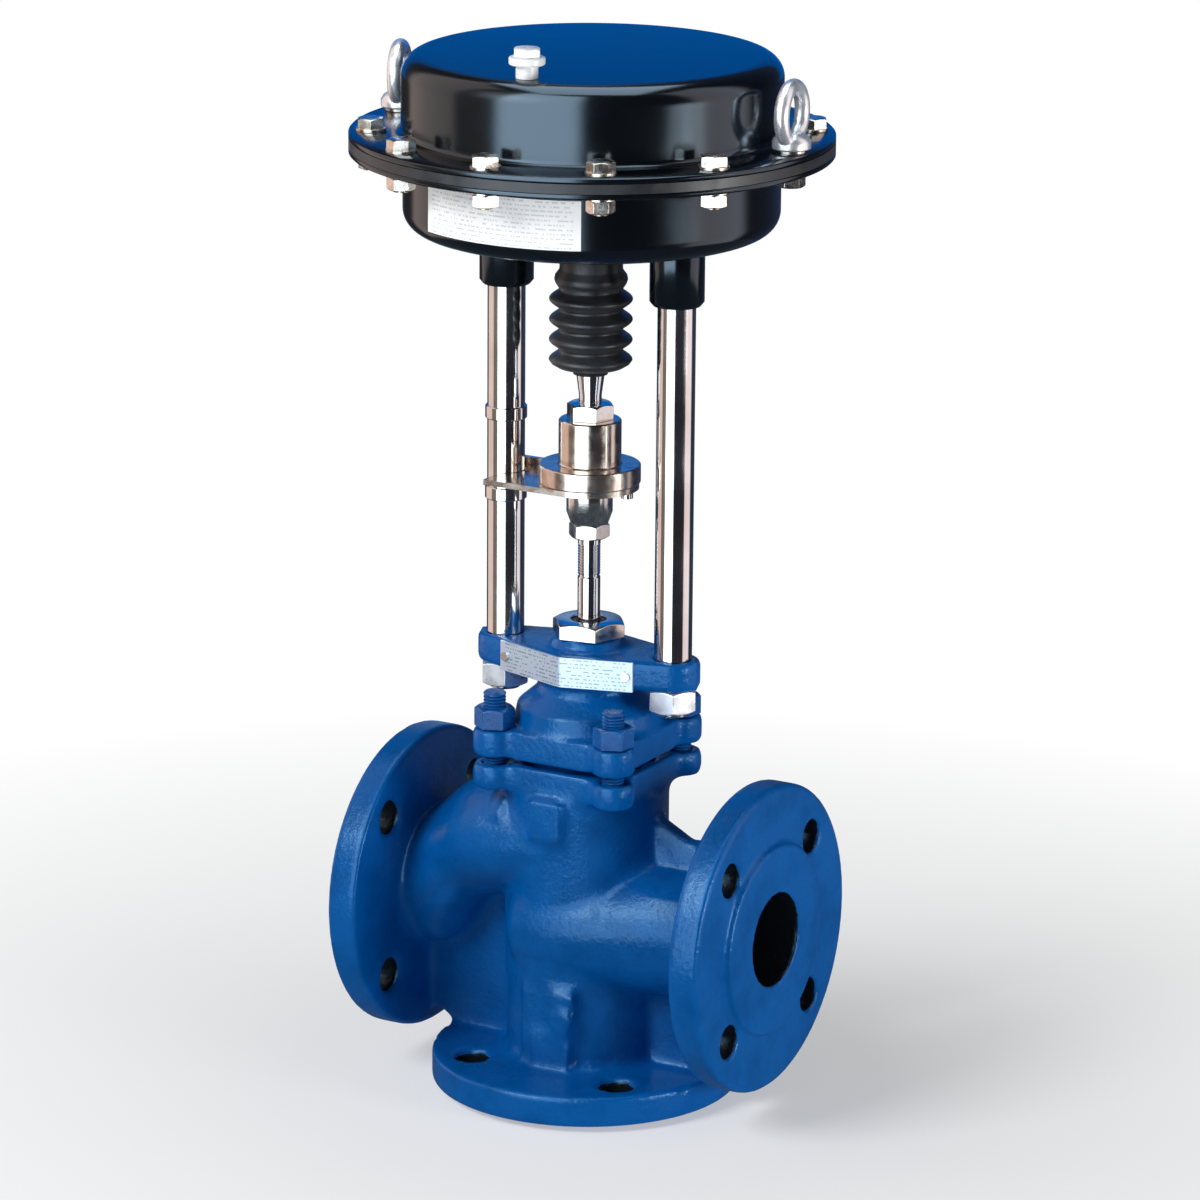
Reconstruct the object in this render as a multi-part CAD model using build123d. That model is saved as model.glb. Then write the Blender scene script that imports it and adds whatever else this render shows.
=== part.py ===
"""Three-way flanged control valve with a spring-loaded diaphragm actuator.

Millimetres, +Z up along the stem, +X towards the right-hand port.
The origin is the centre of the bottom port's flange face.
"""
from build123d import *
import math
import os

os.makedirs("parts", exist_ok=True)

# Fits between the pieces
running_clearance = 0.05
stroke = 20.0
stroke_reserve = 0.2
bolt_clearance = 0.5
spigot_clearance = 0.2
soft_gap = 0.3

# Ports and pipe flanges
face_to_face = 230.0
port_height = 100.0
port_bore = 50.0
flange_diameter = 165.0
flange_thickness = 20.0
raised_face_diameter = 102.0
raised_face_height = 3.0
flange_bolt_circle = 125.0
flange_bolt_hole = 18.0
flange_bolt_count = 4
flange_edge = 1.5
neck_fillet = 6.0
neck_length = 12.0
right_bore_length = 60.0
right_passage = 55.0
bottom_bore_length = 40.0

# Cast body
barrel_diameter = 87.0
lower_barrel_diameter = 85.0
body_height = 184.0
body_flange_thickness = 15.0
branch_diameter = 74.0
branch_ridge = 47.0
branch_ridge_radius = 6.0
web_thickness = 12.0
upper_web_height = 158.0
upper_web_low_end = 129.0
duct_wall = 9.0
duct_end_x = -30.0
duct_end_height = 151.0
duct_end_half_width = 31.0
duct_end_half_height = 15.0
duct_sections = 5
foot_web_inset = 4.0
foot_web_rise = 11.0
foot_web_drop = 20.0
foot_web_root = 10.0
upper_pad_reach = 2.0
lower_pad_reach = 0.3
upper_pad_width = 21.0
upper_pad_height = 23.0
lower_pad_left = -15.0
lower_pad_right = 16.0
lower_pad_low = 40.0
lower_pad_high = 64.0
lower_rib_right = -6.0
pad_boss_x = 11.0
pad_boss_height = 48.0
pad_boss_diameter = 13.5
pad_boss_reach = 4.0

# Cover joint between body and bonnet
cover_side = 82.0
cover_bolt_spacing = 72.0
cover_lobe_radius = 11.5
cover_gap = 3.5
bonnet_flange_thickness = 15.5
stud_diameter = 12.0
stud_nut_size = 19.0
stud_nut_height = 10.8
stud_end = 8.5
recess_diameter = 70.0
recess_depth = 6.5
gasket_thickness = 2.0
opening_diameter = 62.0

# Chambers, seats and plug
chamber_diameter = 64.0
chamber_corner = 3.0
upper_chamber_diameter = 68.0
upper_chamber_height = 36.0
seat_spacing = 52.0
seat_bore = 44.0
seat_ring_thickness = 9.0
lower_ring_diameter = 56.0
upper_ring_diameter = 60.0
plug_diameter = 52.0
skirt_clearance = 0.3
skirt_wall = 3.0
skirt_height = 22.0
skirt_port_count = 4
plug_hub_diameter = 22.0
plug_hub_height = 12.0
stem_diameter = 12.0
stem_end_in_plug = 6.0
pin_diameter = 3.0

# Bonnet with its packing box and crosshead
spigot_depth = 15.5
spigot_boss_diameter = 32.0
guide_diameter = 18.0
guide_length = 22.0
hub_diameter = 79.0
hub_height = 9.5
hub_taper = 2.0
neck_diameter = 53.0
neck_cone_height = 9.5
crosshead_rise = 44.5
crosshead_thickness = 16.0
crosshead_end_radius = 14.5
crosshead_kink = 30.0
crosshead_kink_radius = 8.0
collar_diameter = 39.0
collar_height = 5.5
packing_diameter = 20.0
packing_floor_rise = 10.5
packing_washer_thickness = 2.0
packing_spring_length = 16.0
packing_spring_wire = 1.6
packing_spring_turns = 4
packing_ring_height = 5.0
packing_ring_count = 4
packing_lip = 1.2

# Gland nut and wiper
gland_nut_size = 35.0
gland_nut_height = 8.5
gland_thread_diameter = 28.0
gland_bore_clearance = 0.5
wiper_diameter = 18.8
wiper_height = 3.0
wiper_recess = 4.0

# Pillars that carry the actuator
pillar_spacing = 102.0
pillar_diameter = 20.0
pillar_boss_height = 34.5
pillar_thread = 16.0
pillar_thread_up = 26.0
pillar_nut_size = 24.0
pillar_nut_height = 12.4
pillar_stub_end = 2.5
travel_ring_diameter = 22.2
travel_ring_height = 7.0
lower_ring_drop = 12.5
ring_spacing = 43.5

# Coupling between the two stems
coupling_drop = 165.0
lower_nut_size = 19.0
lower_nut_height = 8.0
coupling_hub_diameter = 24.4
coupling_hub_height = 19.0
coupling_hub_taper = 2.0
indicator_thickness = 3.0
indicator_half_width = 26.0
indicator_back = 14.0
indicator_end_gap = 1.6
indicator_clearance = 0.8
indicator_lip_height = 5.0
indicator_lip_end = -28.0
coupling_disc_diameter = 53.6
coupling_disc_height = 10.0
coupling_sleeve_diameter = 33.0
coupling_sleeve_height = 24.0
upper_nut_size = 22.0
upper_nut_height = 8.5
indicator_screw_spacing = 45.0
indicator_screw_diameter = 4.0
indicator_screw_head = 6.4
indicator_screw_head_height = 3.0
stem_end_gap = 6.0

# Actuator casings
yoke_height = 223.5
casing_depth = 46.0
dome_height = 46.0
casing_sheet = 3.0
upper_casing_diameter = 197.4
casing_step = 1.8
casing_corner = 10.0
casing_root = 5.0
rim_width = 26.9
diaphragm_edge = 5.0
neck_outside = 30.0
neck_below = 22.0
neck_above = 13.0
bush_diameter = 20.0
stem_seal_height = 6.0
boss_diameter = 28.6
boss_flare = 2.5
boss_chamfer = 3.0
air_port_rise = 20.0
air_port_thread = 11.4
air_port_boss = 20.0
air_port_reach = 10.0
vent_x = 8.0
vent_y = -80.0
vent_thread = 9.0
vent_neck_diameter = 11.4
vent_neck_height = 6.9
vent_flange_diameter = 18.5
vent_flange_height = 4.2
vent_cap_size = 13.0
vent_cap_height = 4.5
vent_thread_length = 7.0

# Actuator stem, diaphragm and spring
actuator_stem_diameter = 14.7
actuator_stem_taper = 10.0
actuator_stem_step_gap = 11.0
clamp_washer_diameter = 60.0
clamp_washer_thickness = 3.0
clamp_washer_gap = 2.0
diaphragm_sheet = 2.5
diaphragm_wall_gap = 3.3
diaphragm_bend = 6.0
diaphragm_bead = 1.7
plate_gap = 11.5
plate_sheet = 3.0
plate_rim = 9.0
plate_corner = 4.0
plate_nut_size = 19.0
plate_nut_height = 8.0
spring_diameter = 110.0
spring_wire = 7.0
spring_turns = 4
spring_wire_sides = 8

# Bellows between the casing neck and the actuator stem
bellows_wall = 1.6
bellows_length = 55.0
bellows_lip_height = 3.5
bellows_lip_wall = 1.5
bellows_fold_count = 4
bellows_fold_radius = 22.0
bellows_waist_radius = 16.5
bellows_first_fold_rise = 7.7
bellows_last_fold_rise = 40.0
bellows_bulb_radius = 19.4
bellows_bulb_rise = 50.5

# Fixings round the casing rim
fixing_inset = 11.6
fixing_count = 12
eye_angle = 2.1
eye_every = 6
fixing_diameter = 8.0
fixing_hex = 13.0
fixing_head_height = 5.3
fixing_nut_height = 6.8
fixing_washer_diameter = 16.0
fixing_washer_thickness = 1.6
fixing_end = 4.5
eye_outside = 36.0
eye_wire = 8.0
eye_base_diameter = 20.0
eye_base_height = 7.0
eye_thread_depth = 5.0
eye_twists = (4.0, 18.0)

# Plates that carry the markings
label_thickness = 0.5
label_glue = 0.1
label_start = -117.7
label_sweep = 54.5
label_rise = 9.0
label_height = 25.5
nameplate_thickness = 1.0
nameplate_left = -43.0
nameplate_right = 38.0
rivet_diameter = 3.0
rivet_head_diameter = 5.0
rivet_head_height = 1.0
rivet_length = 8.0
rivet_inset = 4.0

# Heights that follow from the sizes above
lower_seat_top = port_height - seat_spacing / 2
upper_seat_bottom = port_height + seat_spacing / 2
upper_seat_top = upper_seat_bottom + seat_ring_thickness
gasket_low = body_height - recess_depth
gasket_high = gasket_low + gasket_thickness
bonnet_low = body_height + cover_gap
bonnet_top = bonnet_low + bonnet_flange_thickness
crosshead_low = body_height + crosshead_rise
crosshead_top = crosshead_low + crosshead_thickness
collar_top = crosshead_top + collar_height
packing_floor = bonnet_low + packing_floor_rise
packing_spring_low = packing_floor + packing_washer_thickness
packing_ring_low = packing_spring_low + packing_spring_length + packing_washer_thickness
packing_top = packing_ring_low + packing_ring_count * packing_ring_height
gland_top = collar_top + gland_nut_height
casing_low = crosshead_top + yoke_height
rim_middle = casing_low + casing_depth
casing_high = rim_middle + dome_height
pillar_top = casing_low - pillar_boss_height
neck_low = casing_low - neck_below
neck_high = casing_low + neck_above
lower_nut_low = casing_low - coupling_drop
hub_low = lower_nut_low + lower_nut_height
indicator_low = hub_low + coupling_hub_height
lower_ring_height = indicator_low - lower_ring_drop
upper_ring_height = lower_ring_height + ring_spacing
disc_low = indicator_low + indicator_thickness
sleeve_low = disc_low + coupling_disc_height
sleeve_top = sleeve_low + coupling_sleeve_height
rim_diameter = upper_casing_diameter + 2 * rim_width
lower_casing_diameter = upper_casing_diameter - casing_step
fixing_circle = rim_diameter - 2 * fixing_inset
diaphragm_inner_edge = upper_casing_diameter / 2 - diaphragm_bead
diaphragm_radius = lower_casing_diameter / 2 - casing_sheet - diaphragm_wall_gap
plate_diameter = 2 * (diaphragm_radius - plate_gap)
bellows_low = neck_low - bellows_length
actuator_stem_step = bellows_low - actuator_stem_step_gap
air_port_height = casing_low + air_port_rise
label_low = casing_low + label_rise
label_high = label_low + label_height
upper_rim_low = rim_middle + diaphragm_edge / 2
upper_rim_top = upper_rim_low + casing_sheet
lower_rim_top = rim_middle - diaphragm_edge / 2
lower_rim_low = lower_rim_top - casing_sheet
clamp_low = neck_high + clamp_washer_gap
diaphragm_low = clamp_low + clamp_washer_thickness
plate_low = diaphragm_low + diaphragm_sheet
plate_top = plate_low + plate_sheet
plate_nut_top = plate_top + plate_nut_height
pillar_x = pillar_spacing / 2
plug_top = lower_seat_top + seat_spacing - stroke - stroke_reserve
stem_radius = stem_diameter / 2
cover_bolt = cover_bolt_spacing / 2
actuator_stem_low = disc_low + stem_end_gap / 2
valve_stem_top = disc_low - stem_end_gap / 2


# Shapes that many pieces share
def disc(radius, low, high, x=0.0, y=0.0):
    """Upright solid cylinder from height low to height high."""
    return Pos(x, y, (low + high) / 2) * Cylinder(radius, high - low)


def ring(outer, inner, low, high, x=0.0, y=0.0):
    """Upright tube."""
    return disc(outer, low, high, x, y) - disc(inner, low, high, x, y)


def turned(*points):
    """Solid of revolution about the stem axis from (radius, height) points."""
    return revolve(Plane.XZ * make_face(Polyline(*points, close=True)), Axis.Z)


def sheet_profile(points, radii, thickness):
    """Bent sheet in (radius, height), drawn by its middle line."""
    return Plane.XZ * trace(FilletPolyline(*points, radius=radii), thickness)


def hexagon(across_flats, low, high, x=0.0, y=0.0, turn=0.0):
    """Plain hexagonal prism."""
    outline = RegularPolygon(across_flats / 2, 6, major_radius=False, rotation=turn)
    return Pos(x, y, low) * extrude(outline, high - low)


def crowned_hexagon(across_flats, low, high, turn=0.0, both_ends=False):
    """Hexagon whose corners are turned off at the top, as on a machined nut."""
    corner = across_flats / math.sqrt(3)
    inset = corner - across_flats / 2 + 0.4
    drop = inset * math.tan(math.radians(30))
    points = [(0, low), (corner, low)]
    if both_ends:
        points = [(0, low), (corner - inset, low), (corner, low + drop)]
    points += [(corner, high - drop), (corner - inset, high), (0, high)]
    crown = turned(*points)
    return hexagon(across_flats, low, high, turn=turn) & crown


def around(count, radius, start=0.0):
    """Evenly spaced points on a circle about the stem axis."""
    for index in range(count):
        angle = math.radians(start + 360 * index / count)
        yield radius * math.cos(angle), radius * math.sin(angle)


def together(solids):
    """Separate solids kept as one group."""
    return Compound(children=[solid.solid() for solid in solids])


def cover_points():
    """Centres of the four cover studs."""
    for x in (-cover_bolt, cover_bolt):
        for y in (-cover_bolt, cover_bolt):
            yield x, y


def cover_outline():
    """Square with a round lobe at each stud."""
    outline = Rectangle(cover_side, cover_side)
    for x, y in cover_points():
        outline += Pos(x, y) * Circle(cover_lobe_radius)
    return outline


# Cast body
def pipe_flange(neck_diameter_here):
    """Flange with its face at height 0, and the root of the neck behind it."""
    rim_radius = flange_diameter / 2
    neck_radius = neck_diameter_here / 2
    blank = turned(
        (0, 0),
        (raised_face_diameter / 2, 0),
        (raised_face_diameter / 2, raised_face_height),
        (rim_radius - flange_edge, raised_face_height),
        (rim_radius, raised_face_height + flange_edge),
        (rim_radius, flange_thickness - flange_edge),
        (rim_radius - flange_edge, flange_thickness),
        (neck_radius, flange_thickness),
        (neck_radius, flange_thickness + neck_length),
        (0, flange_thickness + neck_length),
    )
    root = [
        edge
        for edge in blank.edges().filter_by(GeomType.CIRCLE)
        if abs(edge.radius - neck_radius) < 0.01 and abs(edge.center().Z - flange_thickness) < 0.01
    ]
    return fillet(root, neck_fillet)


def flange_holes():
    """Bolt holes of one flange, off its centre lines."""
    through = flange_thickness + 2
    start = 180 / flange_bolt_count
    holes = Part()
    for x, y in around(flange_bolt_count, flange_bolt_circle / 2, start):
        holes += disc(flange_bolt_hole / 2, -1, through, x, y)
    return holes


def at_right_port(shape):
    """Moves a shape from the origin to the right-hand port, face outwards."""
    return Pos(face_to_face / 2, 0, port_height) * Rot(0, -90, 0) * shape


def at_left_port(shape):
    """Moves a shape from the origin to the left-hand port, face outwards."""
    return Pos(-face_to_face / 2, 0, port_height) * Rot(0, 90, 0) * shape


def rising_duct(extra):
    """Duct from the left port up to the upper chamber, widened all round by extra."""
    start_x = flange_thickness + neck_length - face_to_face / 2
    sections = []
    for index in range(duct_sections):
        share = index / (duct_sections - 1)
        climb = share * share * (3 - 2 * share)
        x = start_x + share * (duct_end_x - start_x)
        z = port_height + climb * (duct_end_height - port_height)
        half_width = port_bore / 2 + share * (duct_end_half_width - port_bore / 2)
        half_height = port_bore / 2 + share * (duct_end_half_height - port_bore / 2)
        plane = Plane(origin=(x, 0, z), x_dir=(0, 1, 0), z_dir=(1, 0, 0))
        sections.append(plane * Ellipse(half_width + extra, half_height + extra))
    return loft(sections)


def web(*points):
    """Flat web in the plane of the ports."""
    face = Plane.XZ * make_face(Polyline(*points, close=True))
    return extrude(face, web_thickness / 2, both=True)


def body_outside():
    """Cast outside of the body without its hollows."""
    barrel = barrel_diameter / 2
    flange_back = face_to_face / 2 - flange_thickness
    cover_low = body_height - body_flange_thickness
    shape = pipe_flange(lower_barrel_diameter)
    shape += disc(lower_barrel_diameter / 2, flange_thickness, lower_seat_top)
    shape += disc(barrel, lower_seat_top - seat_ring_thickness, cover_low + 1)
    shape += at_right_port(pipe_flange(branch_diameter))
    shape += at_left_port(pipe_flange(port_bore + 2 * duct_wall))
    ridge = Pos(0, branch_ridge - branch_ridge_radius) * Circle(branch_ridge_radius)
    branch = make_hull((Circle(branch_diameter / 2) + ridge).edges())
    across = Plane(origin=(0, 0, port_height), x_dir=(0, 1, 0), z_dir=(1, 0, 0))
    shape += extrude(across * branch, flange_back + flange_edge)
    shape += rising_duct(duct_wall)
    shape += web(
        (0, port_height),
        (barrel - 3, upper_web_height),
        (flange_back + 1, upper_web_low_end),
        (flange_back + 1, port_height),
    )
    flange_top = flange_thickness - 1
    rim = flange_diameter / 2 - flange_edge
    for side in (-1, 1):
        shape += web(
            (side * barrel / 2, flange_top),
            (side * (rim - foot_web_inset), flange_top),
            (side * (flange_back + 1), flange_top + foot_web_rise),
            (side * (flange_back + 1), port_height - foot_web_drop),
            (side * barrel / 2, port_height - foot_web_root),
        )
    cover = Pos(0, 0, cover_low) * extrude(cover_outline(), body_flange_thickness)
    return shape + cover + body_pads()


def front_block(left, right, low, high, reach):
    """Block on the front of the barrel, proud of it by reach."""
    front = barrel_diameter / 2 + reach
    back = front / 2
    middle = Pos((left + right) / 2, -(front + back) / 2, (low + high) / 2)
    return middle * Box(right - left, front - back, high - low)


def body_pads():
    """Raised pads and a round boss on the front of the barrel, left plain."""
    half = upper_pad_width / 2
    cover_low = body_height - body_flange_thickness
    upper_low = cover_low - upper_pad_height
    shape = front_block(-half, half, upper_low, cover_low + 1, upper_pad_reach)
    shape += front_block(
        lower_pad_left, lower_pad_right, lower_pad_low, lower_pad_high, lower_pad_reach
    )
    foot = flange_thickness - 1
    shape += front_block(
        lower_pad_left, lower_rib_right, foot, lower_pad_low + 1, lower_pad_reach
    )
    front = barrel_diameter / 2 + pad_boss_reach
    boss = Cylinder(pad_boss_diameter / 2, front / 2)
    return shape + Pos(pad_boss_x, -front * 3 / 4, pad_boss_height) * Rot(90, 0, 0) * boss


def body_hollows():
    """Ports, chambers, seat recesses and the bonnet opening."""
    port = port_bore / 2
    ring_floor = lower_seat_top - seat_ring_thickness
    chamber = disc(chamber_diameter / 2, lower_seat_top, upper_seat_bottom)
    chamber = fillet(chamber.edges().filter_by(GeomType.CIRCLE), chamber_corner)
    upper_chamber_top = upper_seat_top + upper_chamber_height
    upper = disc(upper_chamber_diameter / 2, upper_seat_top, upper_chamber_top)
    upper = fillet(upper.edges().filter_by(GeomType.CIRCLE), chamber_corner)
    hollow = disc(port, -1, bottom_bore_length)
    hollow += disc(lower_ring_diameter / 2, bottom_bore_length, ring_floor)
    hollow += disc(lower_ring_diameter / 2, ring_floor, lower_seat_top)
    hollow += chamber
    hollow += disc(upper_ring_diameter / 2, upper_seat_bottom, upper_seat_top)
    hollow += upper
    hollow += disc(opening_diameter / 2, upper_seat_top + 1, gasket_low)
    hollow += disc(recess_diameter / 2, gasket_low, body_height + 1)
    hollow += at_right_port(disc(port, -1, right_bore_length))
    hollow += at_right_port(disc(right_passage / 2, right_bore_length, face_to_face / 2))
    hollow += at_left_port(disc(port, -1, flange_thickness + neck_length))
    hollow += rising_duct(0)
    return hollow


def valve_body():
    """Grey iron casting with three ports and two chambers."""
    shape = body_outside() - body_hollows()
    holes = flange_holes()
    shape -= holes
    shape -= at_right_port(holes)
    shape -= at_left_port(holes)
    cover_low = body_height - body_flange_thickness
    for x, y in cover_points():
        shape -= disc(stud_diameter / 2, cover_low - 1, body_height + 1, x, y)
    return shape


# Seats and plug
def lower_seat_ring():
    """Screwed seat ring under the plug."""
    floor = lower_seat_top - seat_ring_thickness
    return ring(lower_ring_diameter / 2, seat_bore / 2, floor, lower_seat_top)


def upper_seat_ring():
    """Screwed seat ring above the plug."""
    return ring(upper_ring_diameter / 2, seat_bore / 2, upper_seat_bottom, upper_seat_top)


def skirt(base, direction):
    """Guide skirt with V-shaped ports, open away from the plug's disc."""
    outer = seat_bore / 2 - skirt_clearance
    tip = base + direction * skirt_height
    tube = ring(outer, outer - skirt_wall, min(base, tip), max(base, tip))
    half_width = outer * math.sin(math.radians(180 / skirt_port_count)) * 0.7
    notch = make_face(
        Polyline(
            (0, base + direction * skirt_wall),
            (half_width, tip + direction),
            (-half_width, tip + direction),
            close=True,
        )
    )
    for index in range(skirt_port_count):
        turn = 45 + 360 * index / skirt_port_count
        tube -= Rot(0, 0, turn) * extrude(Plane.XZ * notch, -outer - 2)
    return tube


def plug_pin():
    """Cross pin that locks the plug to the stem."""
    height = plug_top + plug_hub_height / 2
    half = plug_hub_diameter / 2 - 0.5
    return Pos(0, 0, height) * Rot(90, 0, 0) * Cylinder(pin_diameter / 2, 2 * half)


def valve_plug():
    """Plug between the two seats, guided by a ported skirt each way."""
    shape = disc(plug_diameter / 2, lower_seat_top, plug_top)
    shape += disc(plug_hub_diameter / 2, plug_top, plug_top + plug_hub_height)
    shape += skirt(lower_seat_top, -1)
    shape += skirt(plug_top, 1)
    shape -= disc(stem_radius, lower_seat_top + stem_end_in_plug, plug_top + plug_hub_height)
    return shape - plug_pin()


def valve_stem():
    """Ground stem from the plug to the coupling."""
    return disc(stem_radius, lower_seat_top + stem_end_in_plug, valve_stem_top) - plug_pin()


# Bonnet
def crosshead_outline(extra=0.0):
    """Long plate with rounded ends and a blunt kink front and back, grown by extra."""
    middle = crosshead_kink - crosshead_kink_radius
    marks = Pos(-pillar_x, 0) * Circle(crosshead_end_radius + extra)
    marks += Pos(pillar_x, 0) * Circle(crosshead_end_radius + extra)
    marks += Pos(0, middle) * Circle(crosshead_kink_radius + extra)
    marks += Pos(0, -middle) * Circle(crosshead_kink_radius + extra)
    return make_hull(marks.edges())


def bonnet():
    """Cast cover with spigot, neck, packing box and crosshead."""
    spigot = (recess_diameter / 2) - spigot_clearance
    neck = neck_diameter / 2
    hub = hub_diameter / 2
    hub_top = bonnet_top + hub_height
    shape = Pos(0, 0, bonnet_low) * extrude(cover_outline(), bonnet_flange_thickness)
    shape += turned(
        (0, bonnet_top - 1),
        (hub, bonnet_top - 1),
        (hub - hub_taper, hub_top),
        (neck, hub_top + neck_cone_height),
        (neck, crosshead_low + 1),
        (0, crosshead_low + 1),
    )
    shape += Pos(0, 0, crosshead_low) * extrude(crosshead_outline(), crosshead_thickness)
    shape += disc(collar_diameter / 2, crosshead_top, collar_top)
    shape += disc(spigot, gasket_high, bonnet_low)
    shape += disc(spigot_boss_diameter / 2, gasket_high - spigot_depth, gasket_high)
    guide_low = gasket_high - spigot_depth
    shape -= disc(guide_diameter / 2, guide_low, guide_low + guide_length)
    shape -= disc(stem_radius + bolt_clearance, guide_low, packing_floor)
    shape -= disc(packing_diameter / 2, packing_floor, packing_top)
    shape -= disc(gland_thread_diameter / 2, packing_top, collar_top)
    for x, y in cover_points():
        shape -= disc(stud_diameter / 2 + bolt_clearance, bonnet_low, bonnet_top, x, y)
    for x in (-pillar_x, pillar_x):
        shape -= disc(pillar_thread / 2 + bolt_clearance, crosshead_low, crosshead_top, x)
    for place in rivet_places():
        shape -= place * rivet_shank()
    return shape


def bonnet_gasket():
    """Flat ring between spigot and body."""
    return ring(recess_diameter / 2, opening_diameter / 2, gasket_low, gasket_high)


def stem_guide_bush():
    """Guide bush at the foot of the bonnet."""
    low = gasket_high - spigot_depth
    bore = stem_radius + running_clearance
    return ring(guide_diameter / 2, bore, low, low + guide_length)


def bonnet_studs():
    """Four studs screwed into the body."""
    low = body_height - body_flange_thickness
    high = bonnet_top + stud_nut_height + stud_end
    return together([disc(stud_diameter / 2, low, high, x, y) for x, y in cover_points()])


def bonnet_nuts():
    """Four hexagon nuts on the studs."""
    nuts = []
    for x, y in cover_points():
        high = bonnet_top + stud_nut_height
        nut = Pos(x, y, 0) * crowned_hexagon(stud_nut_size, bonnet_top, high, turn=25)
        nuts.append(nut - disc(stud_diameter / 2, bonnet_top, high, x, y))
    return together(nuts)


# Packing box
def packing_washers():
    """Washers below and above the packing spring."""
    outer = packing_diameter / 2 - running_clearance
    inner = stem_radius + bolt_clearance
    washers = []
    for low in (packing_floor, packing_spring_low + packing_spring_length):
        washers.append(ring(outer, inner, low, low + packing_washer_thickness))
    return together(washers)


def packing_spring():
    """Coil spring of square wire that keeps the packing tight."""
    radius = (packing_diameter / 2 + stem_radius) / 2
    travel = packing_spring_length - packing_spring_wire
    pitch = travel / packing_spring_turns
    path = Helix(pitch, travel, radius)
    path = Pos(0, 0, packing_spring_low + packing_spring_wire / 2) * path
    section = Plane(origin=path @ 0, x_dir=(1, 0, 0), z_dir=path % 0)
    wire = section * Rectangle(packing_spring_wire, packing_spring_wire)
    return sweep(wire, path, is_frenet=True)


def packing_rings():
    """Chevron rings that seal on the stem."""
    outer = packing_diameter / 2 - running_clearance
    inner = stem_radius + running_clearance
    middle = (outer + inner) / 2
    rings = []
    for index in range(packing_ring_count):
        low = packing_ring_low + index * packing_ring_height
        high = low + packing_ring_height - packing_lip
        rings.append(
            turned(
                (inner, low),
                (middle, low + packing_lip),
                (outer, low),
                (outer, high),
                (middle, high + packing_lip),
                (inner, high),
            )
        )
    return together(rings)


def gland_nut():
    """Hexagon nut that closes the packing box."""
    shape = crowned_hexagon(gland_nut_size, collar_top, gland_top, turn=10)
    shape += disc(gland_thread_diameter / 2, packing_top, collar_top)
    shape -= disc(stem_radius + gland_bore_clearance, packing_top, gland_top)
    return shape - disc(wiper_diameter / 2, gland_top - wiper_recess, gland_top)


def wiper_ring():
    """Soft ring that wipes the stem in the top of the gland nut."""
    low = gland_top - wiper_recess
    return ring(wiper_diameter / 2, stem_radius + running_clearance, low, low + wiper_height)


# Pillars
def pillar(x):
    """Turned pillar with a threaded end each way."""
    thread = pillar_thread / 2
    stub_low = crosshead_low - pillar_nut_height - pillar_stub_end
    shape = disc(pillar_diameter / 2, crosshead_top, pillar_top, x)
    shape += disc(thread, stub_low, crosshead_top, x)
    return shape + disc(thread, pillar_top, pillar_top + pillar_thread_up, x)


def pillar_nuts():
    """Hexagon nuts under the crosshead."""
    low = crosshead_low - pillar_nut_height
    nuts = []
    for x in (-pillar_x, pillar_x):
        nut = crowned_hexagon(pillar_nut_size, low, crosshead_low, turn=-60, both_ends=True)
        nut = Pos(x, 0, 0) * nut
        nuts.append(nut - disc(pillar_thread / 2, low, crosshead_low, x))
    return together(nuts)


def travel_ring(low):
    """Stroke mark clamped on the left pillar."""
    high = low + travel_ring_height
    return ring(travel_ring_diameter / 2, pillar_diameter / 2, low, high, -pillar_x)


# Coupling
def lower_lock_nut():
    """Lock nut on the valve stem."""
    nut = crowned_hexagon(lower_nut_size, lower_nut_low, hub_low, turn=20, both_ends=True)
    return nut - disc(stem_radius, lower_nut_low, hub_low)


def coupling_hub():
    """Threaded hub on the valve stem."""
    radius = coupling_hub_diameter / 2
    shape = turned(
        (0, hub_low),
        (radius - coupling_hub_taper, hub_low),
        (radius, hub_low + coupling_hub_height / 3),
        (radius, indicator_low),
        (0, indicator_low),
    )
    return shape - disc(stem_radius, hub_low, indicator_low)


def indicator_plate():
    """Plate under the coupling disc, forked round the left pillar."""
    half = indicator_half_width
    reach = pillar_x - indicator_end_gap
    width = half + indicator_back
    outline = Circle(half)
    outline += Pos(-reach / 2, (indicator_back - half) / 2) * Rectangle(reach, width)
    notch = pillar_diameter / 2 + indicator_clearance
    outline -= Pos(-pillar_x, 0) * Circle(notch)
    outline -= Pos(-pillar_x - notch, 0) * Rectangle(2 * notch, 2 * notch)
    outline -= Circle(stem_radius + bolt_clearance)
    for x in (-indicator_screw_spacing / 2, indicator_screw_spacing / 2):
        outline -= Pos(x, 0) * Circle(indicator_screw_diameter / 2)
    plate = extrude(outline, indicator_thickness)
    lip_width = indicator_back - notch
    lip_length = reach + indicator_lip_end
    lip_high = indicator_thickness + indicator_lip_height
    lip_middle = Pos(indicator_lip_end - lip_length / 2, notch + lip_width / 2, lip_high / 2)
    return Pos(0, 0, indicator_low) * (plate + lip_middle * Box(lip_length, lip_width, lip_high))


def screw_depth():
    """Depth of the indicator screws in the disc."""
    return coupling_disc_height * 0.7


def indicator_screws():
    """Two screws that hold the plate to the disc."""
    screws = []
    for x in (-indicator_screw_spacing / 2, indicator_screw_spacing / 2):
        head_low = indicator_low - indicator_screw_head_height
        head = disc(indicator_screw_head / 2, head_low, indicator_low, x)
        high = disc_low + screw_depth()
        screws.append(head + disc(indicator_screw_diameter / 2, indicator_low, high, x))
    return together(screws)


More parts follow.
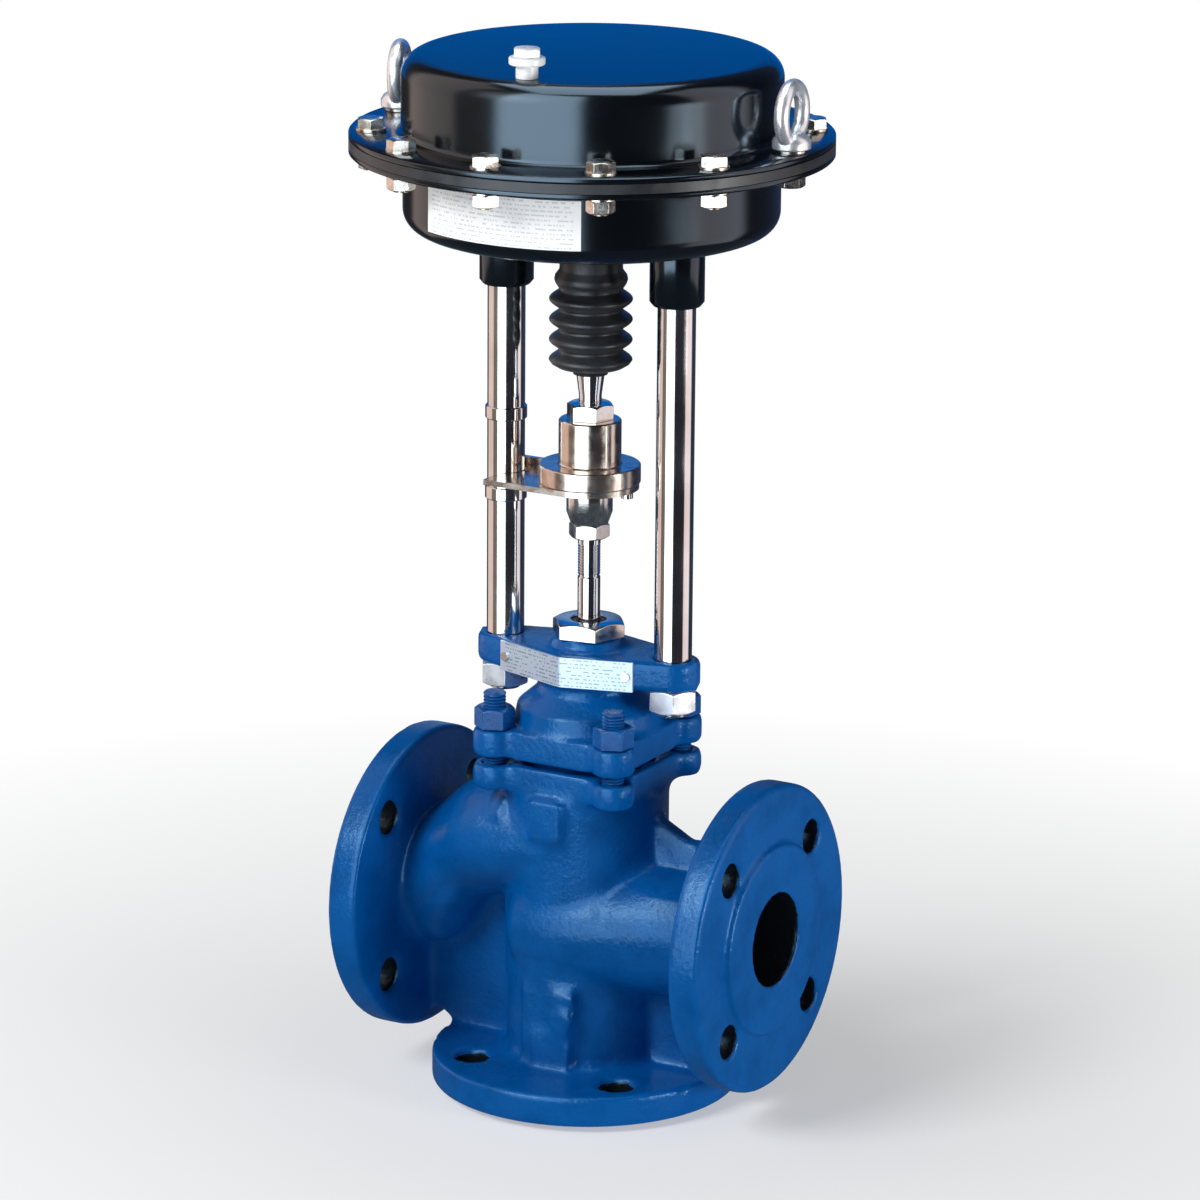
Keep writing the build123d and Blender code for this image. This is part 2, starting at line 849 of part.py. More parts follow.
def coupling_sleeve():
    """Sleeve with a wide disc, screwed on the actuator stem."""
    shape = disc(coupling_disc_diameter / 2, disc_low, sleeve_low)
    shape += disc(coupling_sleeve_diameter / 2, sleeve_low, sleeve_top)
    shape -= disc(stem_radius, disc_low, sleeve_top)
    for x in (-indicator_screw_spacing / 2, indicator_screw_spacing / 2):
        shape -= disc(indicator_screw_diameter / 2, disc_low, disc_low + screw_depth(), x)
    return shape


def upper_lock_nut():
    """Lock nut on the actuator stem."""
    high = sleeve_top + upper_nut_height
    nut = crowned_hexagon(upper_nut_size, sleeve_top, high, turn=15)
    return nut - disc(stem_radius, sleeve_top, high)


# Actuator stem and bellows
def actuator_stem():
    """Stem from the coupling to the diaphragm plate."""
    radius = actuator_stem_diameter / 2
    return turned(
        (0, actuator_stem_low),
        (stem_radius, actuator_stem_low),
        (stem_radius, actuator_stem_step),
        (radius, actuator_stem_step + actuator_stem_taper),
        (radius, clamp_low),
        (stem_radius, clamp_low),
        (stem_radius, plate_nut_top + 2),
        (0, plate_nut_top + 2),
    )


def bellows_points(inset):
    """Outline of the folds from the lip up to the collar, moved in by inset."""
    folds_height = bellows_last_fold_rise - bellows_first_fold_rise
    pitch = folds_height / (bellows_fold_count - 1)
    points = []
    for index in range(bellows_fold_count):
        fold = bellows_low + bellows_first_fold_rise + index * pitch
        points.append((bellows_fold_radius - inset, fold))
        points.append((bellows_waist_radius - inset, fold + pitch / 2))
    points.append((bellows_bulb_radius - inset, bellows_low + bellows_bulb_rise))
    return points


def bellows():
    """Rubber bellows between the casing neck and the stem."""
    lip_inner = actuator_stem_diameter / 2 + soft_gap
    lip_outer = lip_inner + bellows_lip_wall
    lip_top = bellows_low + bellows_lip_height
    collar_inner = neck_outside / 2
    collar_outer = collar_inner + bellows_wall
    collar_low = neck_low + 1
    outer = [(lip_outer, lip_top)] + bellows_points(0) + [(collar_outer, collar_low)]
    inner = [(lip_inner, lip_top + bellows_wall)] + bellows_points(bellows_wall)
    inner = inner + [(collar_inner, collar_low - bellows_wall)]
    outline = [(lip_inner, bellows_low), (lip_outer, bellows_low)] + outer
    outline = outline + [(collar_outer, casing_low - 1), (collar_inner, casing_low - 1)]
    return turned(*(outline + inner[::-1]))


# Actuator casings
def upper_casing():
    """Pressed dome with a flat rim."""
    wall = (upper_casing_diameter - casing_sheet) / 2
    middle = casing_high - casing_sheet / 2
    rim = upper_rim_low + casing_sheet / 2
    path = [(0, middle), (wall, middle), (wall, rim), (rim_diameter / 2, rim)]
    shape = revolve(sheet_profile(path, [casing_corner, casing_root], casing_sheet), Axis.Z)
    shape -= disc(vent_thread / 2, casing_high - 2 * casing_sheet, casing_high, vent_x, vent_y)
    return shape - fixing_holes(upper_rim_low, upper_rim_top)


def pillar_boss(x):
    """Welded boss under the casing for one pillar."""
    radius = boss_diameter / 2
    shape = turned(
        (0, pillar_top),
        (radius - boss_chamfer, pillar_top),
        (radius, pillar_top + boss_chamfer),
        (radius, casing_low - boss_flare),
        (radius + boss_flare, casing_low),
        (radius + boss_flare, casing_low + casing_sheet / 2),
        (0, casing_low + casing_sheet / 2),
    )
    return Pos(x, 0, 0) * shape


def air_port(radius, start, end):
    """Radial cylinder at the back of the lower casing."""
    middle = (start + end) / 2
    return Pos(0, middle, air_port_height) * Rot(90, 0, 0) * Cylinder(radius, end - start)


def lower_casing():
    """Pressed pan with welded neck, pillar bosses and air connection."""
    wall = (lower_casing_diameter - casing_sheet) / 2
    middle = casing_low + casing_sheet / 2
    rim = lower_rim_low + casing_sheet / 2
    outside = lower_casing_diameter / 2
    path = [(0, middle), (wall, middle), (wall, rim), (rim_diameter / 2, rim)]
    shape = revolve(sheet_profile(path, [casing_corner, casing_root], casing_sheet), Axis.Z)
    shape += disc(neck_outside / 2, neck_low, neck_high)
    for x in (-pillar_x, pillar_x):
        shape += pillar_boss(x)
        shape -= disc(pillar_thread / 2, pillar_top, pillar_top + pillar_thread_up, x)
    shape += air_port(air_port_boss / 2, outside - casing_sheet, outside + air_port_reach)
    shape -= air_port(air_port_thread / 2, outside - 2 * casing_sheet, outside + air_port_reach)
    shape -= disc(bush_diameter / 2, neck_low, neck_high)
    return shape - fixing_holes(lower_rim_low, lower_rim_top)


def stem_bush():
    """Plain bush in the casing neck."""
    bore = actuator_stem_diameter / 2 + running_clearance
    return ring(bush_diameter / 2, bore, neck_low, neck_high - stem_seal_height)


def stem_seal():
    """Lip seal above the bush."""
    bore = actuator_stem_diameter / 2 + running_clearance
    return ring(bush_diameter / 2, bore, neck_high - stem_seal_height, neck_high)


def vent_plug():
    """Plastic breather cap on top of the casing."""
    flange_low = casing_high + vent_neck_height
    flange_high = flange_low + vent_flange_height
    cap_high = flange_high + vent_cap_height
    shape = disc(vent_neck_diameter / 2, casing_high, flange_low, vent_x, vent_y)
    shape += disc(vent_flange_diameter / 2, flange_low, flange_high, vent_x, vent_y)
    shape += Pos(vent_x, vent_y, 0) * crowned_hexagon(vent_cap_size, flange_high, cap_high)
    thread_low = casing_high - vent_thread_length
    return shape + disc(vent_thread / 2, thread_low, casing_high, vent_x, vent_y)


# Diaphragm, plate and spring
def diaphragm():
    """Moulded rubber diaphragm clamped between the casing rims."""
    middle = diaphragm_low + diaphragm_sheet / 2
    path = [
        (stem_radius, middle),
        (diaphragm_radius, middle),
        (diaphragm_radius, rim_middle),
        (diaphragm_inner_edge + diaphragm_sheet, rim_middle),
    ]
    radii = [diaphragm_bend, diaphragm_bend]
    shape = revolve(sheet_profile(path, radii, diaphragm_sheet), Axis.Z)
    shape += ring(rim_diameter / 2, diaphragm_inner_edge, lower_rim_top, upper_rim_low)
    return shape - fixing_holes(lower_rim_top, upper_rim_low)


def clamp_washer():
    """Washer under the diaphragm's centre."""
    return ring(clamp_washer_diameter / 2, stem_radius, clamp_low, diaphragm_low)


def diaphragm_plate():
    """Pressed dish that carries the spring."""
    middle = plate_low + plate_sheet / 2
    wall = (plate_diameter - plate_sheet) / 2
    path = [(stem_radius, middle), (wall, middle), (wall, plate_top + plate_rim)]
    return revolve(sheet_profile(path, plate_corner, plate_sheet), Axis.Z)


def plate_nut():
    """Nut that clamps plate and diaphragm on the stem."""
    nut = crowned_hexagon(plate_nut_size, plate_top, plate_nut_top)
    return nut - disc(stem_radius, plate_top, plate_nut_top)


def actuator_spring():
    """Coil spring between the plate and the dome."""
    ceiling = casing_high - casing_sheet
    travel = ceiling - plate_top - spring_wire
    path = Pos(0, 0, plate_top + spring_wire / 2) * Helix(
        travel / spring_turns, travel, spring_diameter / 2
    )
    section = Plane(origin=path @ 0, x_dir=(1, 0, 0), z_dir=path % 0)
    wire = RegularPolygon(spring_wire / 2, spring_wire_sides)
    return sweep(section * wire, path, is_frenet=True)


# Fixings round the rim
def fixing_points():
    """Every fixing on the rim, with True where it carries a lifting eye."""
    points = around(fixing_count, fixing_circle / 2, eye_angle)
    for index, (x, y) in enumerate(points):
        yield x, y, index % eye_every == 0


def fixing_holes(low, high):
    """Clearance holes for the rim fixings."""
    holes = Part()
    for x, y, _ in fixing_points():
        holes += disc((fixing_diameter + bolt_clearance) / 2, low, high, x, y)
    return holes


def fixing_turn(x, y):
    """Turns a hexagon so that one flat faces the casing's axis."""
    return math.degrees(math.atan2(y, x))


def casing_washers():
    """Washers above and below the rims."""
    outer = fixing_washer_diameter / 2
    bore = (fixing_diameter + bolt_clearance) / 2
    washers = []
    for x, y, _ in fixing_points():
        low = lower_rim_low - fixing_washer_thickness
        washers.append(ring(outer, bore, low, lower_rim_low, x, y))
        high = upper_rim_top + fixing_washer_thickness
        washers.append(ring(outer, bore, upper_rim_top, high, x, y))
    return together(washers)


def casing_bolts():
    """Bolts with the head above, and below where an eye sits on top."""
    top = upper_rim_top + fixing_washer_thickness
    bottom = lower_rim_low - fixing_washer_thickness
    bolts = []
    for x, y, has_eye in fixing_points():
        turn = fixing_turn(x, y)
        if has_eye:
            bolt = disc(fixing_diameter / 2, bottom, top + eye_thread_depth, x, y)
            bolt += hexagon(fixing_hex, bottom - fixing_head_height, bottom, x, y, turn)
        else:
            shank_low = bottom - fixing_nut_height - fixing_end
            bolt = disc(fixing_diameter / 2, shank_low, top, x, y)
            bolt += hexagon(fixing_hex, top, top + fixing_head_height, x, y, turn)
        bolts.append(bolt)
    return together(bolts)


def casing_nuts():
    """Nuts under the rim."""
    high = lower_rim_low - fixing_washer_thickness
    low = high - fixing_nut_height
    nuts = []
    for x, y, has_eye in fixing_points():
        if not has_eye:
            nut = hexagon(fixing_hex, low, high, x, y, fixing_turn(x, y))
            nuts.append(nut - disc(fixing_diameter / 2, low, high, x, y))
    return together(nuts)


def lifting_eyes():
    """Two eye nuts for a lifting sling."""
    base_low = upper_rim_top + fixing_washer_thickness
    centre = base_low + eye_outside / 2
    loop = Torus((eye_outside - eye_wire) / 2, eye_wire / 2)
    eyes = []
    for x, y, has_eye in fixing_points():
        if has_eye:
            turn = fixing_turn(x, y) + eye_twists[len(eyes)]
            upright = Rot(0, 0, turn) * Rot(0, 90, 0) * loop
            eye = Pos(x, y, centre) * upright
            eye += disc(eye_base_diameter / 2, base_low, base_low + eye_base_height, x, y)
            eye -= disc(eye_outside, base_low - eye_outside, base_low, x, y)
            eye -= disc(fixing_diameter / 2, base_low, base_low + eye_thread_depth, x, y)
            eyes.append(eye)
    return together(eyes)


# Plates
def actuator_label():
    """Thin plate glued round the front of the lower casing."""
    radius = (lower_casing_diameter + label_thickness) / 2 + label_glue
    height = label_high - label_low
    section = Pos(radius, label_low + height / 2) * Rectangle(label_thickness, height)
    return Rot(0, 0, label_start) * revolve(Plane.XZ * section, Axis.Z, label_sweep)


def crosshead_edge_turn():
    """Angle of the crosshead's front edge to the port axis, in degrees."""
    middle = crosshead_kink - crosshead_kink_radius
    widen = crosshead_end_radius - crosshead_kink_radius
    length = math.hypot(pillar_x, middle)
    return math.degrees(math.atan2(middle, pillar_x) - math.asin(widen / length))


def rivet_places():
    """Frames at the two rivets, with +Z out of the crosshead's front edge."""
    turn = crosshead_edge_turn()
    tilt = math.radians(turn)
    middle = crosshead_kink - crosshead_kink_radius
    height = crosshead_low + crosshead_thickness / 2
    for x, side in ((nameplate_left, -1), (nameplate_right, 1)):
        rivet_x = x - side * rivet_inset
        start_x = side * crosshead_kink_radius * math.sin(tilt)
        start_y = -middle - crosshead_kink_radius * math.cos(tilt)
        rivet_y = start_y + abs(rivet_x - start_x) * math.tan(tilt)
        yield Pos(rivet_x, rivet_y, height) * Rot(0, 0, side * turn) * Rot(90, 0, 0)


def rivet_shank():
    """Shank of a rivet, from the plate's outer face into the crosshead."""
    length = rivet_length + nameplate_thickness
    return Pos(0, 0, nameplate_thickness - length / 2) * Cylinder(rivet_diameter / 2, length)


def yoke_nameplate():
    """Thin plate bent over the crosshead's front kink."""
    width = nameplate_right - nameplate_left
    centre = (nameplate_right + nameplate_left) / 2
    front = Pos(centre, -crosshead_kink) * Rectangle(width, 2 * crosshead_kink)
    outer = crosshead_outline(nameplate_thickness) & front
    shape = extrude(outer, crosshead_thickness) - extrude(crosshead_outline(), crosshead_thickness)
    shape = Pos(0, 0, crosshead_low) * shape
    for place in rivet_places():
        shape -= place * rivet_shank()
    return shape


def nameplate_rivets():
    """Two rivets through the nameplate."""
    rivets = []
    head_middle = nameplate_thickness + rivet_head_height / 2
    for place in rivet_places():
        head = Pos(0, 0, head_middle) * Cylinder(rivet_head_diameter / 2, rivet_head_height)
        rivets.append(place * (rivet_shank() + head))
    return together(rivets)


pieces = {
    "valve_body": valve_body(),
    "lower_seat_ring": lower_seat_ring(),
    "upper_seat_ring": upper_seat_ring(),
    "valve_plug": valve_plug(),
    "plug_pin": plug_pin(),
    "valve_stem": valve_stem(),
    "bonnet_gasket": bonnet_gasket(),
    "bonnet": bonnet(),
    "bonnet_studs": bonnet_studs(),
    "bonnet_nuts": bonnet_nuts(),
    "stem_guide_bush": stem_guide_bush(),
    "packing_washers": packing_washers(),
    "packing_spring": packing_spring(),
    "packing_rings": packing_rings(),
    "gland_nut": gland_nut(),
    "wiper_ring": wiper_ring(),
    "left_pillar": pillar(-pillar_x),
    "right_pillar": pillar(pillar_x),
    "pillar_nuts": pillar_nuts(),
    "lower_travel_ring": travel_ring(lower_ring_height),
    "upper_travel_ring": travel_ring(upper_ring_height),
    "lower_lock_nut": lower_lock_nut(),
    "coupling_hub": coupling_hub(),
    "indicator_plate": indicator_plate(),
    "indicator_screws": indicator_screws(),
    "coupling_sleeve": coupling_sleeve(),
    "upper_lock_nut": upper_lock_nut(),
    "actuator_stem": actuator_stem(),
    "stem_bellows": bellows(),
    "lower_casing": lower_casing(),
    "upper_casing": upper_casing(),
    "stem_bush": stem_bush(),
    "stem_seal": stem_seal(),
    "vent_plug": vent_plug(),
    "diaphragm": diaphragm(),
    "clamp_washer": clamp_washer(),
    "diaphragm_plate": diaphragm_plate(),
    "plate_nut": plate_nut(),
    "actuator_spring": actuator_spring(),
    "casing_bolts": casing_bolts(),
    "casing_nuts": casing_nuts(),
    "casing_washers": casing_washers(),
    "lifting_eyes": lifting_eyes(),
    "actuator_label": actuator_label(),
    "yoke_nameplate": yoke_nameplate(),
    "nameplate_rivets": nameplate_rivets(),
}

for name, piece in pieces.items():
    export_step(piece, f"parts/{name}.step")
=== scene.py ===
"""Looks of a three-way flanged control valve with a diaphragm actuator.

Metres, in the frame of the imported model: +Z up the stem, +X towards the right-hand port.
"""

import math

import bmesh
import bpy
from mathutils import Matrix, Vector


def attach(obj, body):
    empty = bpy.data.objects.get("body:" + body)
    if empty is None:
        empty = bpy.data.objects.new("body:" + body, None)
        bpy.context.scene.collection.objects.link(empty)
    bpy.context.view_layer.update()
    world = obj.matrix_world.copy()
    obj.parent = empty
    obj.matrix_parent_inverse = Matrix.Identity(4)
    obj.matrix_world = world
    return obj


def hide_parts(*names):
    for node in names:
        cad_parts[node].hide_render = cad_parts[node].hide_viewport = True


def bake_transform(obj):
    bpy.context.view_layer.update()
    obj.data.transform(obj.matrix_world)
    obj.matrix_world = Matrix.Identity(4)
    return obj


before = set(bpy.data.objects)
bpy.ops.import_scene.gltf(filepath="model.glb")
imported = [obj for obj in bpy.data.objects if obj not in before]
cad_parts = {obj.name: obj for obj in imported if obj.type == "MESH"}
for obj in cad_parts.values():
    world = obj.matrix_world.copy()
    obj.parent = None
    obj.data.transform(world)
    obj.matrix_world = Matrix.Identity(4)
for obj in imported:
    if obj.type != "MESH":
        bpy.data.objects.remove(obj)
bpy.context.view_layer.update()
mm = 0.001


# The camera stands a little above the actuator, turned towards the right-hand port.
# It is a long lens far away, so the pillars stay almost parallel.
camera_data = bpy.data.cameras.new("camera")
camera_data.lens = 175.0
camera_data.sensor_width = 36.0
camera_data.clip_end = 60.0
camera = bpy.data.objects.new("camera", camera_data)
bpy.context.scene.collection.objects.link(camera)
camera_turn = Matrix.Rotation(math.radians(29.77), 4, "Z")
camera_tilt = Matrix.Rotation(math.radians(90 - 15.614), 4, "X")
camera_roll = Matrix.Rotation(math.radians(0.45), 4, "Z")
camera_place = Matrix.Translation((1.4738, -2.5647, 1.0951))
camera.matrix_world = camera_place @ camera_turn @ camera_tilt @ camera_roll
bpy.context.scene.camera = camera
bpy.context.scene.view_settings.view_transform = "Standard"


# The floor is one pale sheet of studio paper that fades into white away from the valve.
# The world gives the even light of a white room.
def calc(owner, operation, first, second=0.0):
    """Maths node on sockets or numbers, in a material's or a world's tree."""
    node = owner.node_tree.nodes.new("ShaderNodeMath")
    node.operation = operation
    for socket, value in ((0, first), (1, second)):
        if isinstance(value, float):
            node.inputs[socket].default_value = value
        else:
            owner.node_tree.links.new(value, node.inputs[socket])
    return node.outputs[0]


def stage_material(name, colour, strength):
    """Material that only glows."""
    material = bpy.data.materials.new(name)
    material.use_nodes = True
    nodes = material.node_tree.nodes
    nodes.clear()
    out = nodes.new("ShaderNodeOutputMaterial")
    glow = nodes.new("ShaderNodeEmission")
    glow.inputs["Color"].default_value = (*colour, 1)
    glow.inputs["Strength"].default_value = strength
    material.node_tree.links.new(glow.outputs[0], out.inputs["Surface"])
    return material


def put(name, bm, material):
    """Object at the origin from a mesh, which it frees."""
    mesh = bpy.data.meshes.new(name)
    bm.to_mesh(mesh)
    bm.free()
    mesh.materials.append(material)
    thing = bpy.data.objects.new(name, mesh)
    bpy.context.scene.collection.objects.link(thing)
    return thing


paper = bpy.data.materials.new("studio_paper")
paper.use_nodes = True
paper_nodes = paper.node_tree.nodes
paper_shader = paper_nodes["Principled BSDF"]
paper_shader.inputs["Base Color"].default_value = (0.86, 0.87, 0.88, 1)
paper_shader.inputs["Roughness"].default_value = 0.9
paper_light = paper_nodes.new("ShaderNodeEmission")
paper_light.inputs["Color"].default_value = (1, 1, 1, 1)
paper_light.inputs["Strength"].default_value = 1.0
paper_far = paper_nodes.new("ShaderNodeMixShader")
paper_place = paper_nodes.new("ShaderNodeTexCoord")
paper_length = paper_nodes.new("ShaderNodeVectorMath")
paper_length.operation = "LENGTH"
paper_edge = paper_nodes.new("ShaderNodeMapRange")
paper_edge.inputs["From Min"].default_value = 0.16
paper_edge.inputs["From Max"].default_value = 0.70
paper_edge.inputs["To Min"].default_value = 0.40
paper_links = paper.node_tree.links
paper_links.new(paper_place.outputs["Object"], paper_length.inputs[0])
paper_links.new(paper_length.outputs["Value"], paper_edge.inputs["Value"])
paper_links.new(paper_edge.outputs["Result"], paper_far.inputs["Fac"])
paper_links.new(paper_shader.outputs[0], paper_far.inputs[1])
paper_links.new(paper_light.outputs[0], paper_far.inputs[2])
paper_links.new(paper_far.outputs[0], paper_nodes["Material Output"].inputs["Surface"])
floor_mesh = bmesh.new()
bmesh.ops.create_grid(floor_mesh, x_segments=2, y_segments=2, size=12.0)
floor = put("floor", floor_mesh, paper)

world = bpy.data.worlds.new("white_room")
bpy.context.scene.world = world
world.use_nodes = True
world_nodes = world.node_tree.nodes
world_room = world_nodes["Background"]
world_room.inputs["Color"].default_value = (0.93, 0.96, 1.0, 1)
world_room.inputs["Strength"].default_value = 0.13
world_seen = world_nodes.new("ShaderNodeBackground")
world_seen.inputs["Color"].default_value = (1, 1, 1, 1)
world_seen.inputs["Strength"].default_value = 1.0
world_rays = world_nodes.new("ShaderNodeLightPath").outputs
seen_or_mirrored = calc(world, "MAXIMUM", world_rays["Is Camera Ray"], world_rays["Is Glossy Ray"])
white_rays = calc(world, "MAXIMUM", seen_or_mirrored, world_rays["Is Transmission Ray"])
world_mix = world_nodes.new("ShaderNodeMixShader")
world_links = world.node_tree.links
world_links.new(white_rays, world_mix.inputs["Fac"])
world_links.new(world_room.outputs[0], world_mix.inputs[1])
world_links.new(world_seen.outputs[0], world_mix.inputs[2])
world_links.new(world_mix.outputs[0], world_nodes["World Output"].inputs["Surface"])


# Three soft lamps: a large one over the front, one on the right-hand port's side,
# and a weak one on the left.
def lamp(name, place, aim, size, power, colour):
    data = bpy.data.lights.new(name, "AREA")
    data.shape = "SQUARE"
    data.size = size
    data.energy = power
    data.color = colour
    thing = bpy.data.objects.new(name, data)
    bpy.context.scene.collection.objects.link(thing)
    thing.location = place
    thing.rotation_euler = (Vector(aim) - Vector(place)).to_track_quat("-Z", "Y").to_euler()


lamp("front_lamp", (-0.75, -1.65, 1.55), (0, 0, 0.22), 0.9, 37, (1.0, 1.0, 1.0))
lamp("right_lamp", (2.2, -0.12, 0.32), (0, 0, 0.12), 0.6, 27, (0.97, 0.99, 1.0))
lamp("left_lamp", (-1.7, -0.6, 1.0), (0, 0, 0.3), 0.9, 5, (0.95, 0.98, 1.0))


# A ring of dark and light cards stands round the set, with dark cloths above and below, a
# blue card behind and a light panel overhead. Only shiny surfaces see them, as streaks.
def cards_only(thing):
    """Leaves an object to be seen in reflections alone."""
    thing.visible_camera = False
    thing.visible_diffuse = False
    thing.visible_shadow = False
    thing.visible_transmission = False
    thing.visible_volume_scatter = False


card_stops = (
    (0.000, (0.22, 0.17, 0.15)),
    (0.090, (0.22, 0.17, 0.15)),
    (0.105, (0.045, 0.036, 0.032)),
    (0.172, (0.060, 0.050, 0.045)),
    (0.188, (0.78, 0.90, 1.00)),
    (0.306, (0.78, 0.90, 1.00)),
    (0.322, (0.006, 0.006, 0.008)),
    (0.490, (0.006, 0.006, 0.008)),
    (0.505, (0.26, 0.21, 0.20)),
    (0.600, (0.26, 0.24, 0.25)),
    (0.625, (0.006, 0.006, 0.008)),
    (0.800, (0.010, 0.016, 0.035)),
    (0.840, (0.05, 0.09, 0.16)),
    (0.900, (0.008, 0.008, 0.010)),
    (0.955, (0.012, 0.010, 0.010)),
    (0.970, (0.22, 0.17, 0.15)),
)
card_ring = stage_material("card_ring", (1, 1, 1), 4.0)
card_nodes = card_ring.node_tree.nodes
card_place = card_nodes.new("ShaderNodeTexCoord")
card_angle = card_nodes.new("ShaderNodeTexGradient")
card_angle.gradient_type = "RADIAL"
card_ramp = card_nodes.new("ShaderNodeValToRGB")
for index, (position, colour) in enumerate(card_stops):
    if index < 2:
        stop = card_ramp.color_ramp.elements[index]
        stop.position = position
    else:
        stop = card_ramp.color_ramp.elements.new(position)
    stop.color = (*colour, 1)
card_links = card_ring.node_tree.links
card_links.new(card_place.outputs["Object"], card_angle.inputs["Vector"])
card_links.new(card_angle.outputs["Fac"], card_ramp.inputs["Fac"])
card_links.new(card_ramp.outputs["Color"], card_nodes["Emission"].inputs["Color"])
ring_mesh = bmesh.new()
bmesh.ops.create_cone(
    ring_mesh, cap_ends=False, segments=96, radius1=0.75, radius2=0.75, depth=1.7,
    matrix=Matrix.Translation((0, 0, 0.86)),
)
cards_only(put("card_ring", ring_mesh, card_ring))


def round_cloth(height):
    """Disc that closes the ring of cards."""
    bm = bmesh.new()
    bmesh.ops.create_circle(
        bm, cap_ends=True, segments=48, radius=0.76, matrix=Matrix.Translation((0, 0, height))
    )
    return bm


def flat_card(place, width, height):
    """Rectangle that lies in the X-Y plane of its placement."""
    bm = bmesh.new()
    bmesh.ops.create_grid(
        bm, x_segments=1, y_segments=1, size=0.5,
        matrix=place @ Matrix.Diagonal((width, height, 1.0, 1.0)),
    )
    return bm


dark_cloth = stage_material("dark_cloth", (1, 1, 1), 0.02)
cards_only(put("ceiling_card", round_cloth(1.7), dark_cloth))
grey_cloth = stage_material("grey_cloth", (0.6, 0.8, 1.0), 0.10)
cards_only(put("floor_card", round_cloth(0.004), grey_cloth))
overhead_place = Matrix.Translation((-0.05, 0.03, 1.55)) @ camera_turn
overhead_glow = stage_material("panel", (0.80, 0.91, 1.0), 3.2)
cards_only(put("overhead_panel", flat_card(overhead_place, 0.84, 1.0), overhead_glow))
blue_place = camera_turn @ Matrix.Translation((0, 0.70, 0.86)) @ camera_tilt
blue_glow = stage_material("blue_card", (0.0, 0.25, 1.0), 0.62)
cards_only(put("blue_card", flat_card(blue_place, 1.0, 0.80), blue_glow))


# The valve body is one grey-iron casting: barrel, three flanged branches and webs. It is
# cast in sand, so its inner corners are full and its skin is grainy, and it is dipped blue.
def noise_group(name, layers, squeeze=(1.0, 1.0, 1.0)):
    """Noise of chosen sizes. Each layer is (size input, output, detail, roughness)."""
    group = bpy.data.node_groups.new(name, "ShaderNodeTree")
    for size_input, *_ in layers:
        group.interface.new_socket(
            name=size_input, in_out="INPUT", socket_type="NodeSocketFloat"
        )
    for _, output, *_ in layers:
        group.interface.new_socket(name=output, in_out="OUTPUT", socket_type="NodeSocketFloat")
    start = group.nodes.new("NodeGroupInput")
    end = group.nodes.new("NodeGroupOutput")
    place = group.nodes.new("ShaderNodeTexCoord")
    mapping = group.nodes.new("ShaderNodeMapping")
    mapping.inputs["Scale"].default_value = squeeze
    group.links.new(place.outputs["Object"], mapping.inputs["Vector"])
    for size_input, output, detail, roughness in layers:
        noise = group.nodes.new("ShaderNodeTexNoise")
        noise.inputs["Detail"].default_value = detail
        noise.inputs["Roughness"].default_value = roughness
        scale = group.nodes.new("ShaderNodeMath")
        scale.operation = "DIVIDE"
        scale.inputs[0].default_value = 1.0
        group.links.new(start.outputs[size_input], scale.inputs[1])
        group.links.new(mapping.outputs[0], noise.inputs["Vector"])
        group.links.new(scale.outputs[0], noise.inputs["Scale"])
        group.links.new(noise.outputs["Fac"], end.inputs[output])
    return group


# Stains and grain, and fine lines round the stem's axis, as from a lathe or a polishing belt.
unevenness = noise_group(
    "unevenness", (("Patch Size", "Patches", 3.0, 0.6), ("Grain Size", "Grain", 4.0, 0.6))
)
brushing = noise_group("brushing", (("Line Size", "Lines", 5.0, 0.5),), (0.02, 0.02, 1.0))


